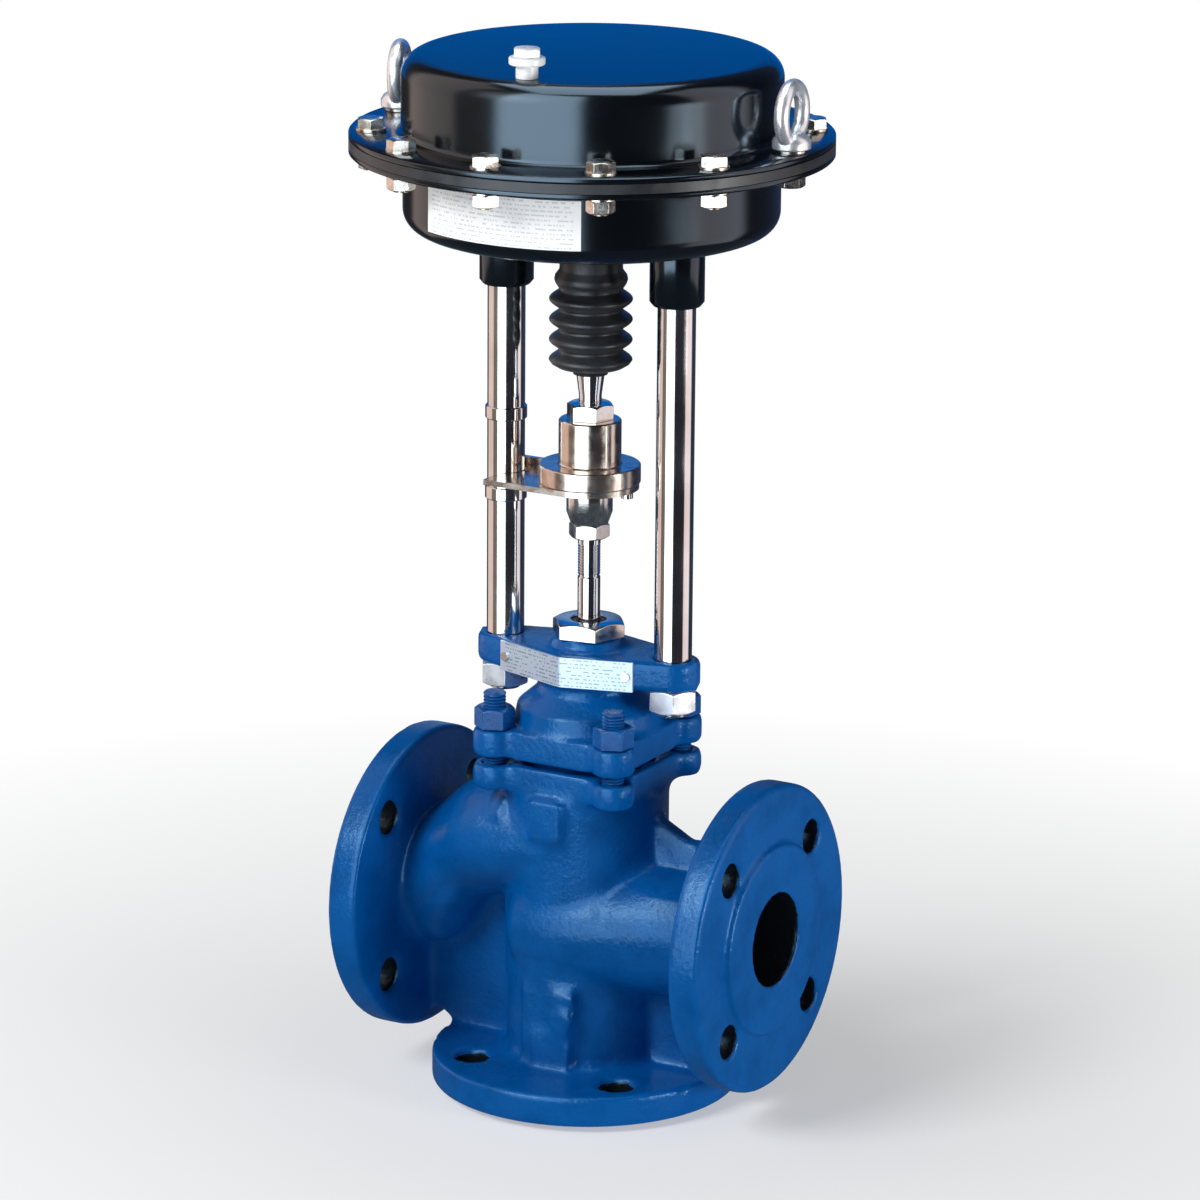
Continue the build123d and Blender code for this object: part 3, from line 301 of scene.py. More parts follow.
def finish(name, colour, stain, rough, metal=0.0, patch=30 * mm, grain=1.5 * mm, depth=0.05 * mm,
           lines=0.0, coat=0.0, edge=0.0, sheen=0.0, ior=1.5):
    """Finish with stains, uneven gloss and grain. rough is (polished, dull)."""
    material = bpy.data.materials.new(name)
    material.use_nodes = True
    nodes = material.node_tree.nodes
    links = material.node_tree.links
    shader = nodes["Principled BSDF"]
    shader.inputs["Metallic"].default_value = metal
    shader.inputs["IOR"].default_value = ior
    shader.inputs["Coat Weight"].default_value = coat
    shader.inputs["Coat Roughness"].default_value = 0.08
    shader.inputs["Sheen Weight"].default_value = sheen
    uneven = nodes.new("ShaderNodeGroup")
    uneven.node_tree = unevenness
    uneven.inputs["Patch Size"].default_value = patch
    uneven.inputs["Grain Size"].default_value = grain
    tone = nodes.new("ShaderNodeValToRGB")
    tone.color_ramp.elements[0].position = 0.34
    tone.color_ramp.elements[0].color = (*stain, 1)
    tone.color_ramp.elements[1].position = 0.58
    tone.color_ramp.elements[1].color = (*colour, 1)
    links.new(uneven.outputs["Patches"], tone.inputs["Fac"])
    links.new(tone.outputs["Color"], shader.inputs["Base Color"])
    gloss = nodes.new("ShaderNodeMapRange")
    gloss.inputs["From Min"].default_value = 0.35
    gloss.inputs["From Max"].default_value = 0.70
    gloss.inputs["To Min"].default_value = rough[0]
    gloss.inputs["To Max"].default_value = rough[1]
    links.new(uneven.outputs["Patches"], gloss.inputs["Value"])
    links.new(gloss.outputs["Result"], shader.inputs["Roughness"])
    bump = nodes.new("ShaderNodeBump")
    bump.inputs["Distance"].default_value = depth
    links.new(uneven.outputs["Grain"], bump.inputs["Height"])
    if lines:
        brush = nodes.new("ShaderNodeGroup")
        brush.node_tree = brushing
        brush.inputs["Line Size"].default_value = lines
        links.new(brush.outputs["Lines"], bump.inputs["Height"])
    if edge:
        rounding = nodes.new("ShaderNodeBevel")
        rounding.samples = 6
        rounding.inputs["Radius"].default_value = edge
        links.new(rounding.outputs["Normal"], bump.inputs["Normal"])
    links.new(bump.outputs["Normal"], shader.inputs["Normal"])
    return material


def merged_copy(node):
    """Copy of a CAD mesh with its triangles joined."""
    bm = bmesh.new()
    bm.from_mesh(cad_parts[node].data)
    bmesh.ops.remove_doubles(bm, verts=bm.verts, dist=0.002 * mm)
    return bm


def baked(thing):
    """Mesh of an object with its modifiers applied."""
    graph = bpy.context.evaluated_depsgraph_get()
    return bpy.data.meshes.new_from_object(thing.evaluated_get(graph))


def merge(*parts):
    """Puts several meshes into one."""
    whole = parts[0]
    for part in parts[1:]:
        mesh = bpy.data.meshes.new("part")
        part.to_mesh(mesh)
        part.free()
        whole.from_mesh(mesh)
        bpy.data.meshes.remove(mesh)
    return whole


def loft(rings):
    """Closed solid through rings of (x, y, z) points in mm, capped at both ends."""
    bm = bmesh.new()
    loops = [[bm.verts.new(Vector(point) * mm) for point in ring] for ring in rings]
    for first, second in zip(loops, loops[1:]):
        for index in range(len(first)):
            after = (index + 1) % len(first)
            bm.faces.new((first[index], first[after], second[after], second[index]))
    bm.faces.new(loops[0][::-1])
    bm.faces.new(loops[-1])
    bmesh.ops.recalc_face_normals(bm, faces=bm.faces)
    return bm


def moved(bm, turn=0.0, axis="Z", by=(0, 0, 0)):
    """Turns a mesh about an axis through the origin, in degrees, then moves it in mm."""
    turning = Matrix.Rotation(math.radians(turn), 3, axis)
    bmesh.ops.rotate(bm, verts=bm.verts, cent=(0, 0, 0), matrix=turning)
    bmesh.ops.translate(bm, verts=bm.verts, vec=[value * mm for value in by])
    return bm


def even_out(bm, verts, factor, passes):
    """Evens out some vertices."""
    for _ in range(passes):
        bmesh.ops.smooth_vert(
            bm, verts=verts, factor=factor, use_axis_x=True, use_axis_y=True, use_axis_z=True
        )


def oval(x, height, half_width, half_height, steps=48):
    """Upright oval ring across the ports' axis."""
    turns = [2 * math.pi * step / steps for step in range(steps)]
    return [
        (x, half_width * math.cos(turn), height + half_height * math.sin(turn)) for turn in turns
    ]


def oval_tube(outer, inner):
    """Closed tube between two rows of ovals, with flat ends."""
    return loft([oval(*inner[0])] + [oval(*size) for size in outer]
                + [oval(*size) for size in inner[::-1]] + [oval(*inner[0])])


def cheek(side, sections, inside):
    """Bulge on one side of the barrel, between each section's oval and the barrel's wall."""
    wall_radius, half_steps = 38.0, 8
    rings = []
    for x, height, half_width, half_height in sections:
        inner = max(inside, math.sqrt(max(0.0, wall_radius ** 2 - x * x)))
        reach = half_height * math.sqrt(max(0.02, 1 - (inner / half_width) ** 2))
        outer_line, inner_line = [], []
        for step in range(2 * half_steps + 1):
            rise = reach * (step / half_steps - 1)
            y = half_width * math.sqrt(1 - (rise / half_height) ** 2)
            outer_line.append((x, side * y, height + rise))
            inner_line.append((x, side * (inner - 1), height + rise))
        rings.append(outer_line + inner_line[::-1])
    return loft(rings)


def block(left, right, back, front, low, high):
    """Box from its faces in mm."""
    return loft([[(x, back, low), (x, front, low), (x, front, high), (x, back, high)]
                 for x in (left, right)])


def recast(name, node, material, voxel, is_machined, keep, added=(), reshape=None):
    """Cast skin over a CAD node, with filled inner corners away from machined faces."""
    inner_corner_angle = -0.18
    core = put(name + "_core", merge(merged_copy(node), *added), material)
    even = core.modifiers.new("even", "REMESH")
    even.mode = "VOXEL"
    even.voxel_size = voxel
    bpy.context.view_layer.update()
    skin = bmesh.new()
    skin.from_mesh(baked(core))
    bpy.data.objects.remove(core)
    if reshape:
        for v in skin.verts:
            reshape(v.co)
    even_out(skin, skin.verts, 0.5, 2)
    skin.normal_update()
    corner = set()
    for line in skin.edges:
        if line.is_manifold and line.calc_face_angle_signed() < inner_corner_angle:
            if not is_machined(line.verts[0].co):
                corner.update(line.verts)
    for _ in range(3):
        corner.update([line.other_vert(v) for v in list(corner) for line in v.link_edges])
    even_out(skin, list(corner), 0.7, 14)
    shell = put(name, skin, material)
    fewer = shell.modifiers.new("fewer", "DECIMATE")
    fewer.ratio = keep
    bpy.context.view_layer.update()
    old = shell.data
    shell.data = baked(shell)
    shell.modifiers.clear()
    bpy.data.meshes.remove(old)
    shell.data.shade_smooth()
    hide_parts(node)
    return shell


enamel = finish(
    "blue_enamel", (0.0004, 0.088, 0.33), (0.0004, 0.070, 0.265), (0.15, 0.25),
    patch=26 * mm, grain=2.6 * mm, depth=0.35 * mm,
)


def place_axes(material, coordinates):
    """Sockets X, Y and Z of a texture coordinate."""
    nodes = material.node_tree.nodes
    split = nodes.new("ShaderNodeSeparateXYZ")
    place = nodes.new("ShaderNodeTexCoord")
    material.node_tree.links.new(place.outputs[coordinates], split.inputs[0])
    return [split.outputs[axis] for axis in "XYZ"]


def recolour(material, mask, colour):
    """Shows another colour where a mask is 1."""
    nodes = material.node_tree.nodes
    links = material.node_tree.links
    mix = nodes.new("ShaderNodeMix")
    mix.data_type = "RGBA"
    links.new(mask, mix.inputs["Factor"])
    links.new(nodes["Color Ramp"].outputs["Color"], mix.inputs["A"])
    mix.inputs["B"].default_value = (*colour, 1)
    links.new(mix.outputs["Result"], nodes["Principled BSDF"].inputs["Base Color"])


def paint_bore_shade(material):
    """Paints the bores and bolt holes near black, as painted shade deep inside them, by distance
    from their axes.
    """
    port_height, bolt_offset = 100, 44.19
    bolt_radius, port_radius, chamber_radius = 9.15, 25.3, 34.6
    side_flange_start, foot_flange_top, chamber_top = 90, 24, 168
    right_bore_start, left_bore_start = 28, -84

    def step(operation, first, second=0.0):
        return calc(material, operation, first, second)

    def near(first, second, radius):
        square = step("ADD", step("MULTIPLY", first, first), step("MULTIPLY", second, second))
        return step("LESS_THAN", square, (radius * mm) ** 2)

    x, y, z = place_axes(material, "Object")
    up = step("SUBTRACT", z, port_height * mm)
    bolt_x, bolt_y, bolt_z = [
        step("SUBTRACT", step("ABSOLUTE", value), bolt_offset * mm) for value in (x, y, up)
    ]
    in_side_flange = step("GREATER_THAN", step("ABSOLUTE", x), side_flange_start * mm)
    side_bolts = step("MULTIPLY", near(bolt_y, bolt_z, bolt_radius), in_side_flange)
    in_foot_flange = step("LESS_THAN", z, foot_flange_top * mm)
    foot_bolts = step("MULTIPLY", near(bolt_x, bolt_y, bolt_radius), in_foot_flange)
    outer = step(
        "MAXIMUM", step("GREATER_THAN", x, right_bore_start * mm),
        step("LESS_THAN", x, left_bore_start * mm),
    )
    side_bores = step("MULTIPLY", near(y, up, port_radius), outer)
    in_chambers = step("LESS_THAN", z, chamber_top * mm)
    chambers = step("MULTIPLY", near(x, y, chamber_radius), in_chambers)
    bores = step("MAXIMUM", side_bores, chambers)
    painted_shade = step("MAXIMUM", bores, step("MAXIMUM", side_bolts, foot_bolts))
    # Painted shade: the insides of the bores and bolt holes are set near black.
    recolour(material, painted_shade, (0.006, 0.009, 0.013))


# The enamel gets painted shade inside its bores and bolt holes.
paint_bore_shade(enamel)
enamel_shader = enamel.node_tree.nodes["Principled BSDF"]
enamel_shader.inputs["Specular IOR Level"].default_value = 0.42
enamel_shader.inputs["Specular Tint"].default_value = (0.45, 0.78, 1.0, 1)


def on_body_flange_face(point):
    side_face, foot_face = 108, 5
    return abs(point.x) > side_face * mm or point.z < foot_face * mm


def lower_branch_top(point):
    """Brings the right branch's roof down beside its thin web."""
    web_half_width, barrel_radius = 6.4, 44.5
    axis_height, roof_rise, roof_half_width, flange_fillet_start = 95.5, 36.5, 43, 84
    x, y, z = point.x / mm, abs(point.y / mm), point.z / mm
    if 30 < x < 94 and y > web_half_width and math.hypot(x, y) > barrel_radius and 105 < z < 168:
        roof = axis_height + roof_rise * math.sqrt(max(0.0, 1 - (y / roof_half_width) ** 2))
        roof += max(0.0, x - flange_fillet_start) * 2
        if z > roof:
            point.z = roof * mm


# Forms that the casting has beside the CAD solid: each row is (x, height, half width, half
# height) of an oval, for the right branch, the rising left duct, the belly and the shoulders.
branch_sizes = [
    (33, 95.3, 44.0, 36.7), (46, 96.2, 41.5, 36.7), (60, 97.4, 39.2, 36.8), (75, 98.7, 37.6, 36.9),
    (96, 100, 37.2, 37.2),
]
branch_walls = [(33, 100, 31, 31), (96, 100, 31, 31)]
duct_sizes = [
    (-96, 101, 36.5, 36.0), (-86, 108.5, 38.0, 36.5), (-75, 118.5, 39.6, 37.0),
    (-65, 127.0, 41.0, 36.0), (-55, 132.0, 42.3, 35.0), (-45, 135.0, 43.2, 34.0),
    (-34, 136.5, 43.4, 33.0),
]
duct_walls = [
    (-96, 100, 29.5, 29.5), (-83, 100, 29.5, 29.5), (-70, 108.0, 31.0, 27.0),
    (-56.5, 125.5, 32.5, 24.5), (-43, 143.0, 34.0, 22.0), (-34, 150.0, 35.0, 20.0),
]
belly = [
    (-27, 94, 38.5, 30), (-25, 94, 42.0, 33), (-21, 94, 45.0, 35.5), (-12, 94, 46.8, 36.6),
    (0, 94, 47.4, 37.0), (12, 94.2, 47.0, 37.0), (24, 94.6, 45.8, 36.9), (38, 95.6, 43.0, 36.7),
]
shoulder = [
    (-46, 135, 43.2, 34), (-38, 136, 43.6, 33.5), (-28, 137, 43.8, 33), (-18, 138, 43.8, 32),
    (-6, 139, 43.7, 31),
]
forms = [oval_tube(branch_sizes, branch_walls), oval_tube(duct_sizes, duct_walls)]
for side in (-1, 1):
    forms += [cheek(side, belly, 30.0), cheek(side, shoulder, 32.0)]
# The web under the duct, the two casting pads, the slab at the foot and the round boss.
forms.append(loft([
    [(-96, y, 60), (-43, y, 60), (-43, y, 106), (-55, y, 101), (-66, y, 94), (-80, y, 84),
     (-96, y, 74)] for y in (-6, 6)
]))
boss_x, boss_height, boss_radius = 11.2, 48.8, 6.8
boss_turns = [math.pi * step / 12 for step in range(24)]
forms += [
    block(-10, 10, -38, -46.4, 146, 169.4),
    block(1, 18, -36, -45.7, 50, 65.5),
    block(-9, 16, -36, -45.9, 18, 42),
    loft([
        [(boss_x + boss_radius * math.cos(turn), y, boss_height + boss_radius * math.sin(turn))
         for turn in boss_turns] for y in (-38, -47.4)
    ]),
]
body = recast(
    "body_casting", "valve_body", enamel, 1.35 * mm, on_body_flange_face, 0.34, forms,
    lower_branch_top,
)
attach(body, "valve")


# The bonnet is a second casting with the packing box and the crosshead for the pillars.
# It is painted with the body.
def on_bonnet_crosshead(point):
    crosshead_top, flange_top = 250, 186
    return point.z > crosshead_top * mm or point.z < flange_top * mm


bonnet = recast("bonnet_casting", "bonnet", enamel, 1.1 * mm, on_bonnet_crosshead, 0.42)
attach(bonnet, "valve")


# Four studs hold the bonnet down, each with a hexagon nut. They are steel, and the
# blue enamel was brushed over them after assembly.
def lathe(profile, steps=64, centre=(0.0, 0.0)):
    """Closed turned shape about an upright axis, from (radius, height) points in mm."""
    bm = bmesh.new()
    corners = [bm.verts.new((radius * mm, 0, height * mm)) for radius, height in profile]
    for first, second in zip(corners, corners[1:]):
        bm.edges.new((first, second))
    if profile[0][0] > 0:
        bm.edges.new((corners[-1], corners[0]))
    bmesh.ops.spin(
        bm, geom=bm.verts[:] + bm.edges[:], cent=(0, 0, 0), axis=(0, 0, 1),
        angle=2 * math.pi, steps=steps, use_merge=True,
    )
    bmesh.ops.remove_doubles(bm, verts=bm.verts, dist=0.001 * mm)
    bmesh.ops.recalc_face_normals(bm, faces=bm.faces)
    return moved(bm, by=(*centre, 0))


def hex_nut(across, low, high, bore, centre, turn, crowned_below=True):
    """Turned blank with six flats milled on it, so that its corners keep their crown."""
    chamfer = 0.4
    corner = across / math.sqrt(3)
    crown = across / 2 - chamfer
    slope = math.tan(math.radians(30))
    drop = (corner - crown) * slope
    foot = drop if crowned_below else 0.0
    profile = [
        (bore, low), (crown, low), (corner, low + foot), (corner, high - drop), (crown, high),
        (bore, high),
    ]
    nut = lathe(profile, 48)
    for v in nut.verts:
        reach = math.hypot(v.co.x, v.co.y) / mm
        angle = math.atan2(v.co.y, v.co.x) % (math.pi / 3)
        flat = across / 2 / math.cos(angle - math.pi / 6)
        if reach > across / 2:
            v.co.x *= flat / reach
            v.co.y *= flat / reach
            rise = (flat - crown) * slope * mm
            if v.co.z > (low + high) / 2 * mm:
                v.co.z = high * mm - rise
            elif crowned_below:
                v.co.z = low * mm + rise
    return moved(nut, turn, by=(*centre, 0))


def thread(radius, low, high, pitch, centre=(0.0, 0.0), end=1.0):
    """Threaded rod end with a chamfered tip, from (radius, height) rings."""
    profile = [(0, low)]
    height = low
    while height + pitch < high - end:
        profile += [(radius, height + 0.1 * pitch), (radius - 0.6 * pitch, height + 0.5 * pitch)]
        profile += [(radius, height + 0.9 * pitch)]
        height += pitch
    profile += [(radius, height + 0.1), (radius, high - end), (radius - end, high), (0, high)]
    return lathe(profile, 32, centre)


def piece(name, bm, material, node, body="valve", edge=0.25, smooth=32):
    """Finished piece with softened edges that stands for a CAD node."""
    thing = put(name, bm, material)
    thing.data.shade_smooth()
    thing.data.set_sharp_from_angle(angle=math.radians(smooth))
    if edge:
        soft = thing.modifiers.new("soft_edges", "BEVEL")
        soft.width = edge * mm
        soft.segments = 2
        soft.limit_method = "ANGLE"
        soft.angle_limit = math.radians(smooth)
        soft.harden_normals = True
    for each in [node] if isinstance(node, str) else node:
        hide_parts(each)
    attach(thing, body)
    return thing


cover_places = [(x, y) for x in (-36.0, 36.0) for y in (-36.0, 36.0)]
cover_bottom, bonnet_top, stud_rise, cover_nut_height = 170.0, 203.0, 19.3, 10.8
painted_steel = finish(
    "painted_steel", (0.0004, 0.080, 0.30), (0.0004, 0.058, 0.22), (0.18, 0.30),
    patch=9 * mm, grain=1.2 * mm, depth=0.12 * mm,
)
studs = [
    thread(6.0, cover_bottom, bonnet_top + stud_rise, 1.75, place) for place in cover_places
]
piece("bonnet_stud_set", merge(*studs), painted_steel, "bonnet_studs", edge=0)
nuts = [
    hex_nut(19.0, bonnet_top, bonnet_top + cover_nut_height, 6.1, place, 25, False)
    for place in cover_places
]
piece("bonnet_nut_set", merge(*nuts), painted_steel, "bonnet_nuts", edge=0.5)


# The trim is turned stainless steel: two screwed seats, the double-seated plug, its pin
# and the ground stem. It stays as the CAD has it, with a fine lathe finish.
def dress(node, material):
    """Gives a carried-over CAD node its finish."""
    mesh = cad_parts[node].data
    mesh.materials.clear()
    mesh.materials.append(material)


trim = finish(
    "turned_stainless", (0.60, 0.60, 0.59), (0.50, 0.50, 0.50), (0.16, 0.30), metal=1.0,
    patch=12 * mm, lines=0.25 * mm, depth=0.02 * mm, edge=0.3 * mm,
)
for node in ("lower_seat_ring", "upper_seat_ring", "valve_plug", "plug_pin"):
    dress(node, trim)
ground = finish(
    "ground_stem", (0.76, 0.77, 0.79), (0.66, 0.67, 0.69), (0.05, 0.12), metal=1.0,
    patch=20 * mm, lines=0.20 * mm, depth=0.006 * mm,
)
thread_low, stem_pitch = 283.2, 1.5
stem_profile = [(0, 80), (6, 80), (6, 281.5), (5.4, 282.2), (5.4, thread_low)]
for turn in range(11):
    low = thread_low + stem_pitch * turn
    stem_profile += [(6, low + 0.15), (5.3, low + 0.75), (6, low + 1.35)]
stem_profile += [(6, 300), (6, 330), (0, 330)]
stem = lathe(stem_profile, 64)
piece("ground_valve_stem", stem, ground, "valve_stem", body="stem", edge=0)


# Inside the bonnet: a bronze guide bush, steel washers, a packing spring and chevron rings.
# The flat gasket between the castings is graphite.
bronze = finish(
    "guide_bronze", (0.58, 0.36, 0.17), (0.45, 0.27, 0.12), (0.22, 0.40), metal=1.0,
    patch=8 * mm, lines=0.3 * mm, depth=0.02 * mm, edge=0.3 * mm,
)
dress("stem_guide_bush", bronze)
dress("stem_bush", bronze)
dress("packing_washers", trim)
spring_steel = finish(
    "spring_steel", (0.42, 0.42, 0.43), (0.28, 0.27, 0.27), (0.25, 0.45), metal=1.0,
    patch=6 * mm, grain=0.6 * mm, depth=0.02 * mm, edge=0.2 * mm,
)
dress("packing_spring", spring_steel)
fluoropolymer = finish(
    "packing_white", (0.80, 0.79, 0.75), (0.70, 0.68, 0.63), (0.35, 0.50), patch=5 * mm,
    grain=0.5 * mm, depth=0.02 * mm, edge=0.2 * mm,
)
dress("packing_rings", fluoropolymer)
graphite = finish(
    "graphite_sheet", (0.045, 0.045, 0.048), (0.03, 0.03, 0.032), (0.45, 0.65), metal=0.2,
    patch=4 * mm, grain=0.7 * mm, depth=0.06 * mm,
)
gasket = lathe([(31, 177.5), (35, 177.5), (35, 179.5), (31, 179.5)], 96)
piece("flat_gasket", gasket, graphite, "bonnet_gasket", edge=0.3)


# The gland nut is bright nickel-plated steel with a milled hexagon, and the soft wiper
# sits in its top round the stem.
nickel = finish(
    "nickel_plate", (0.74, 0.71, 0.68), (0.62, 0.58, 0.54), (0.10, 0.24), metal=1.0,
    patch=7 * mm, lines=0.35 * mm, depth=0.015 * mm,
)
gland_seat, gland_top = 250.0, 258.5
gland = merge(
    hex_nut(35.0, gland_seat, gland_top, 9.4, (0, 0), 10, False),
    lathe([(6.5, 240), (14, 240), (14, gland_seat), (6.5, 254.5)], 64),
)
piece("gland_hexagon", gland, nickel, "gland_nut", edge=0.4)
rubber = finish(
    "black_rubber", (0.012, 0.014, 0.017), (0.008, 0.009, 0.011), (0.34, 0.52),
    patch=9 * mm, grain=0.8 * mm, depth=0.04 * mm, sheen=0.05,
)
wiper = lathe([(6.1, 254.5), (9.4, 254.5), (9.4, 257.0), (8.6, 257.5), (6.9, 257.5), (6.1, 256.6)])
piece("stem_wiper", wiper, rubber, "wiper_ring", edge=0.2)


# Two chromed pillars stand in the crosshead and carry the actuator. Each is ground bar
# with a thread at both ends, and a zinc-plated nut under the crosshead.
chrome = finish(
    "hard_chrome", (0.80, 0.79, 0.78), (0.70, 0.68, 0.66), (0.05, 0.13), metal=1.0,
    patch=35 * mm, lines=0.5 * mm, depth=0.008 * mm,
)
left_x, right_x = -51.0, 51.0
bar_low, bar_high = 244.5, 433.5
for name, node, x in (
    ("left_bar", "left_pillar", left_x), ("right_bar", "right_pillar", right_x)
):
    bar = merge(
        lathe([(0, bar_low), (10, bar_low), (10, bar_high), (0, bar_high)], 64, (x, 0)),
        thread(8.0, 213.6, bar_low, 2.0, (x, 0)),
        thread(8.0, bar_high, 459.5, 2.0, (x, 0)),
    )
    piece(name, bar, chrome, node, edge=0.3)
bright_zinc = finish(
    "bright_zinc", (0.86, 0.88, 0.91), (0.76, 0.78, 0.82), (0.24, 0.36), metal=0.75,
    patch=9 * mm, grain=1.1 * mm, depth=0.008 * mm,
)
pillar_nuts = merge(*[hex_nut(24.0, 216.1, 228.5, 8.0, (x, 0), -60) for x in (left_x, right_x)])
piece("pillar_nut_set", pillar_nuts, bright_zinc, "pillar_nuts", edge=0.4)


# Two narrow rings on the left pillar mark the ends of the stroke. Each is a turned
# band of chromed steel with rounded rims, pressed on the bar.
for name, node, low in (
    ("lower_stroke_band", "lower_travel_ring", 317.5),
    ("upper_stroke_band", "upper_travel_ring", 361.0),
):
    band = lathe(
        [(10, low), (10.7, low), (11.1, low + 0.5), (11.1, low + 6.5), (10.7, low + 7),
         (10, low + 7)], 64, (left_x, 0)
    )
    piece(name, band, chrome, node, edge=0.15)


# The coupling joins the valve stem to the actuator stem: a tapered hub below, a plate
# that points at the stroke rings, a wide flanged sleeve, and a lock nut at each end.
hub_low, sleeve_top = 311, 367
nut_below = hex_nut(19.0, 303.0, hub_low, 6.0, (0, 0), 20)
piece("coupling_nut_below", nut_below, nickel, "lower_lock_nut", "stem", edge=0.3)
hub = lathe(
    [(6, hub_low), (10.0, hub_low), (12.2, 317.3), (12.2, 329.4), (11.6, 330), (6, 330)], 64
)
piece("coupling_cone", hub, nickel, "coupling_hub", "stem", edge=0.3)
flanged_sleeve = lathe(
    [(6, 333), (26.2, 333), (26.8, 333.6), (26.8, 342.4), (26.2, 343), (17.2, 343),
     (16.5, 343.7), (16.5, 366.2), (15.7, sleeve_top), (6, sleeve_top)], 96
)
warm_nickel = finish(
    "warm_nickel", (0.72, 0.62, 0.54), (0.60, 0.49, 0.41), (0.12, 0.26), metal=1.0,
    patch=10 * mm, lines=0.4 * mm, depth=0.015 * mm,
)
piece(
    "coupling_flange", flanged_sleeve, warm_nickel, "coupling_sleeve", "stem", edge=0.3
)
nut_above = hex_nut(22.0, sleeve_top, 375.5, 6.0, (0, 0), 15, False)
piece("coupling_nut_above", nut_above, nickel, "upper_lock_nut", "stem", edge=0.3)
dress("indicator_plate", warm_nickel)
dress("indicator_screws", nickel)


# The actuator stem is ground bar. A rubber bellows keeps dirt off it: it is moulded in
# round folds, pushed over the casing's neck, and its lower lip sits round the stem.
upper_stem = lathe(
    [(0, 336), (6, 336), (6, 380), (7.35, 390), (7.35, 483), (6, 483), (6, 503.5), (0, 503.5)], 64
)
piece("ground_actuator_stem", upper_stem, ground, "actuator_stem", "stem", edge=0.2)


def fold_profile(inset):
    """Round folds of the bellows, moved in by inset, as (radius, height)."""
    first_fold, fold_spacing, fold_length = 398.7, 32.3 / 3, 10.77
    valley_radius, fold_depth, steps = 16.6, 5.3, 12
    points = []
    for index in range(4):
        fold = first_fold + index * fold_spacing
        for step in range(steps):
            wave = 0.5 + 0.5 * math.cos(2 * math.pi * step / steps)
            radius = valley_radius + fold_depth * wave ** 0.8
            points.append((radius - inset, fold + fold_length * step / steps))
    return points[:-5]


outer_wall = [(9.1, 391), (9.1, 393.6), (12.5, 394.0), (17.5, 395.0), (20.6, 396.9)]
outer_wall += fold_profile(0.05)
outer_wall += [(18.6, 439.5), (19.2, 441.5), (18.8, 443.6), (16.7, 446.4), (16.55, 447.4)]
outer_wall += [(16.55, 467)]
inner_wall = [(7.7, 391.05), (7.7, 395.0), (15.5, 396.6)] + fold_profile(1.6)
inner_wall += [(16.8, 441.5), (15.05, 445.2), (15.05, 467)]
bellows_mesh = lathe(outer_wall + inner_wall[::-1], 96)
bellows = put("folded_bellows", bellows_mesh, rubber)
bellows.data.shade_smooth()
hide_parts("stem_bellows")
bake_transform(bellows)


# The two casings are deep-drawn steel sheet with flat rims, sprayed gloss black. The lower
# one has a neck for the stem, two bosses for the pillars and the air connection behind.
gloss_black = finish(
    "gloss_black", (0.0015, 0.0022, 0.0030), (0.0012, 0.0018, 0.0026), (0.13, 0.20),
    patch=60 * mm, grain=6 * mm, depth=0.02 * mm, ior=1.75,
)
gloss_black.node_tree.nodes["Principled BSDF"].inputs["Specular Tint"].default_value = (
    0.66, 0.84, 1.0, 1
)


def arc(x, z, radius, start, end, steps=8):
    """Points of a bend about (x, z), in mm and degrees."""
    points = []
    for index in range(steps + 1):
        angle = math.radians(start + (end - start) * index / steps)
        points.append((x + radius * math.cos(angle), z + radius * math.sin(angle)))
    return points


dome = [(0, 560)] + arc(87.2, 548.5, 11.5, 90, 0, 12) + arc(102.2, 523.0, 3.5, 180, 270, 6)
dome += [(125.0, 519.5), (125.6, 518.9), (125.6, 517.1), (125.0, 516.5)]
dome += arc(102.2, 523.0, 6.5, 270, 180, 6) + arc(87.2, 548.5, 8.5, 0, 90, 10) + [(0, 557)]
upper = lathe(dome, 160)
piece("upper_pressing", upper, gloss_black, "upper_casing", edge=0, smooth=50)

pan = [(15, 468)] + arc(86.3, 479.5, 11.5, 270, 360, 12) + arc(101.3, 505.0, 3.5, 180, 90, 6)
pan += [(125.0, 508.5), (125.6, 509.1), (125.6, 510.9), (125.0, 511.5)]
pan += arc(101.3, 505.0, 6.5, 90, 180, 6) + arc(86.3, 479.5, 8.5, 360, 270, 10)
pan += [(15, 471), (15, 481), (10, 481), (10, 446), (14.5, 446), (15, 446.5)]
lower = lathe(pan, 160)
pillar_boss = [(8, bar_high), (12.4, bar_high), (14.3, 435.8), (14.3, 464.5)]
pillar_boss += [(14.6, 466.6), (15.8, 468.0), (16.2, 469.0), (8, 469.0)]
for x in (left_x, right_x):
    lower = merge(lower, lathe(pillar_boss, 64, (x, 0)))
air_boss = lathe([(5.7, 0), (9.4, 0), (10.0, 0.8), (10.0, 13.0), (5.7, 13.0)], 48)
lower = merge(lower, moved(air_boss, 90, "X", (0, 107.8, 488)))
piece("lower_pressing", lower, gloss_black, "lower_casing", edge=0, smooth=50)


# The diaphragm is moulded rubber with fabric inside, clamped between the rims and hung
# over the plate. The stem carries it on a washer, a pressed plate and a nut.
sheet = [(6, 486), (85.5, 486)] + arc(85.5, 492, 6, 270, 360, 8)[1:] + [(91.5, 508)]
sheet += [(93.5, 511.5), (125.6, 511.5), (125.6, 516.5), (95, 516.5), (89.5, 511), (89.0, 493)]
sheet += [(87, 489.5), (84.5, 488.5), (6, 488.5)]
membrane = put("rolling_diaphragm", lathe(sheet, 128), rubber)
membrane.data.shade_smooth()
membrane.data.set_sharp_from_angle(angle=math.radians(40))
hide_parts("diaphragm")
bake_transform(membrane)
for node in ("clamp_washer", "diaphragm_plate", "plate_nut"):
    dress(node, trim)
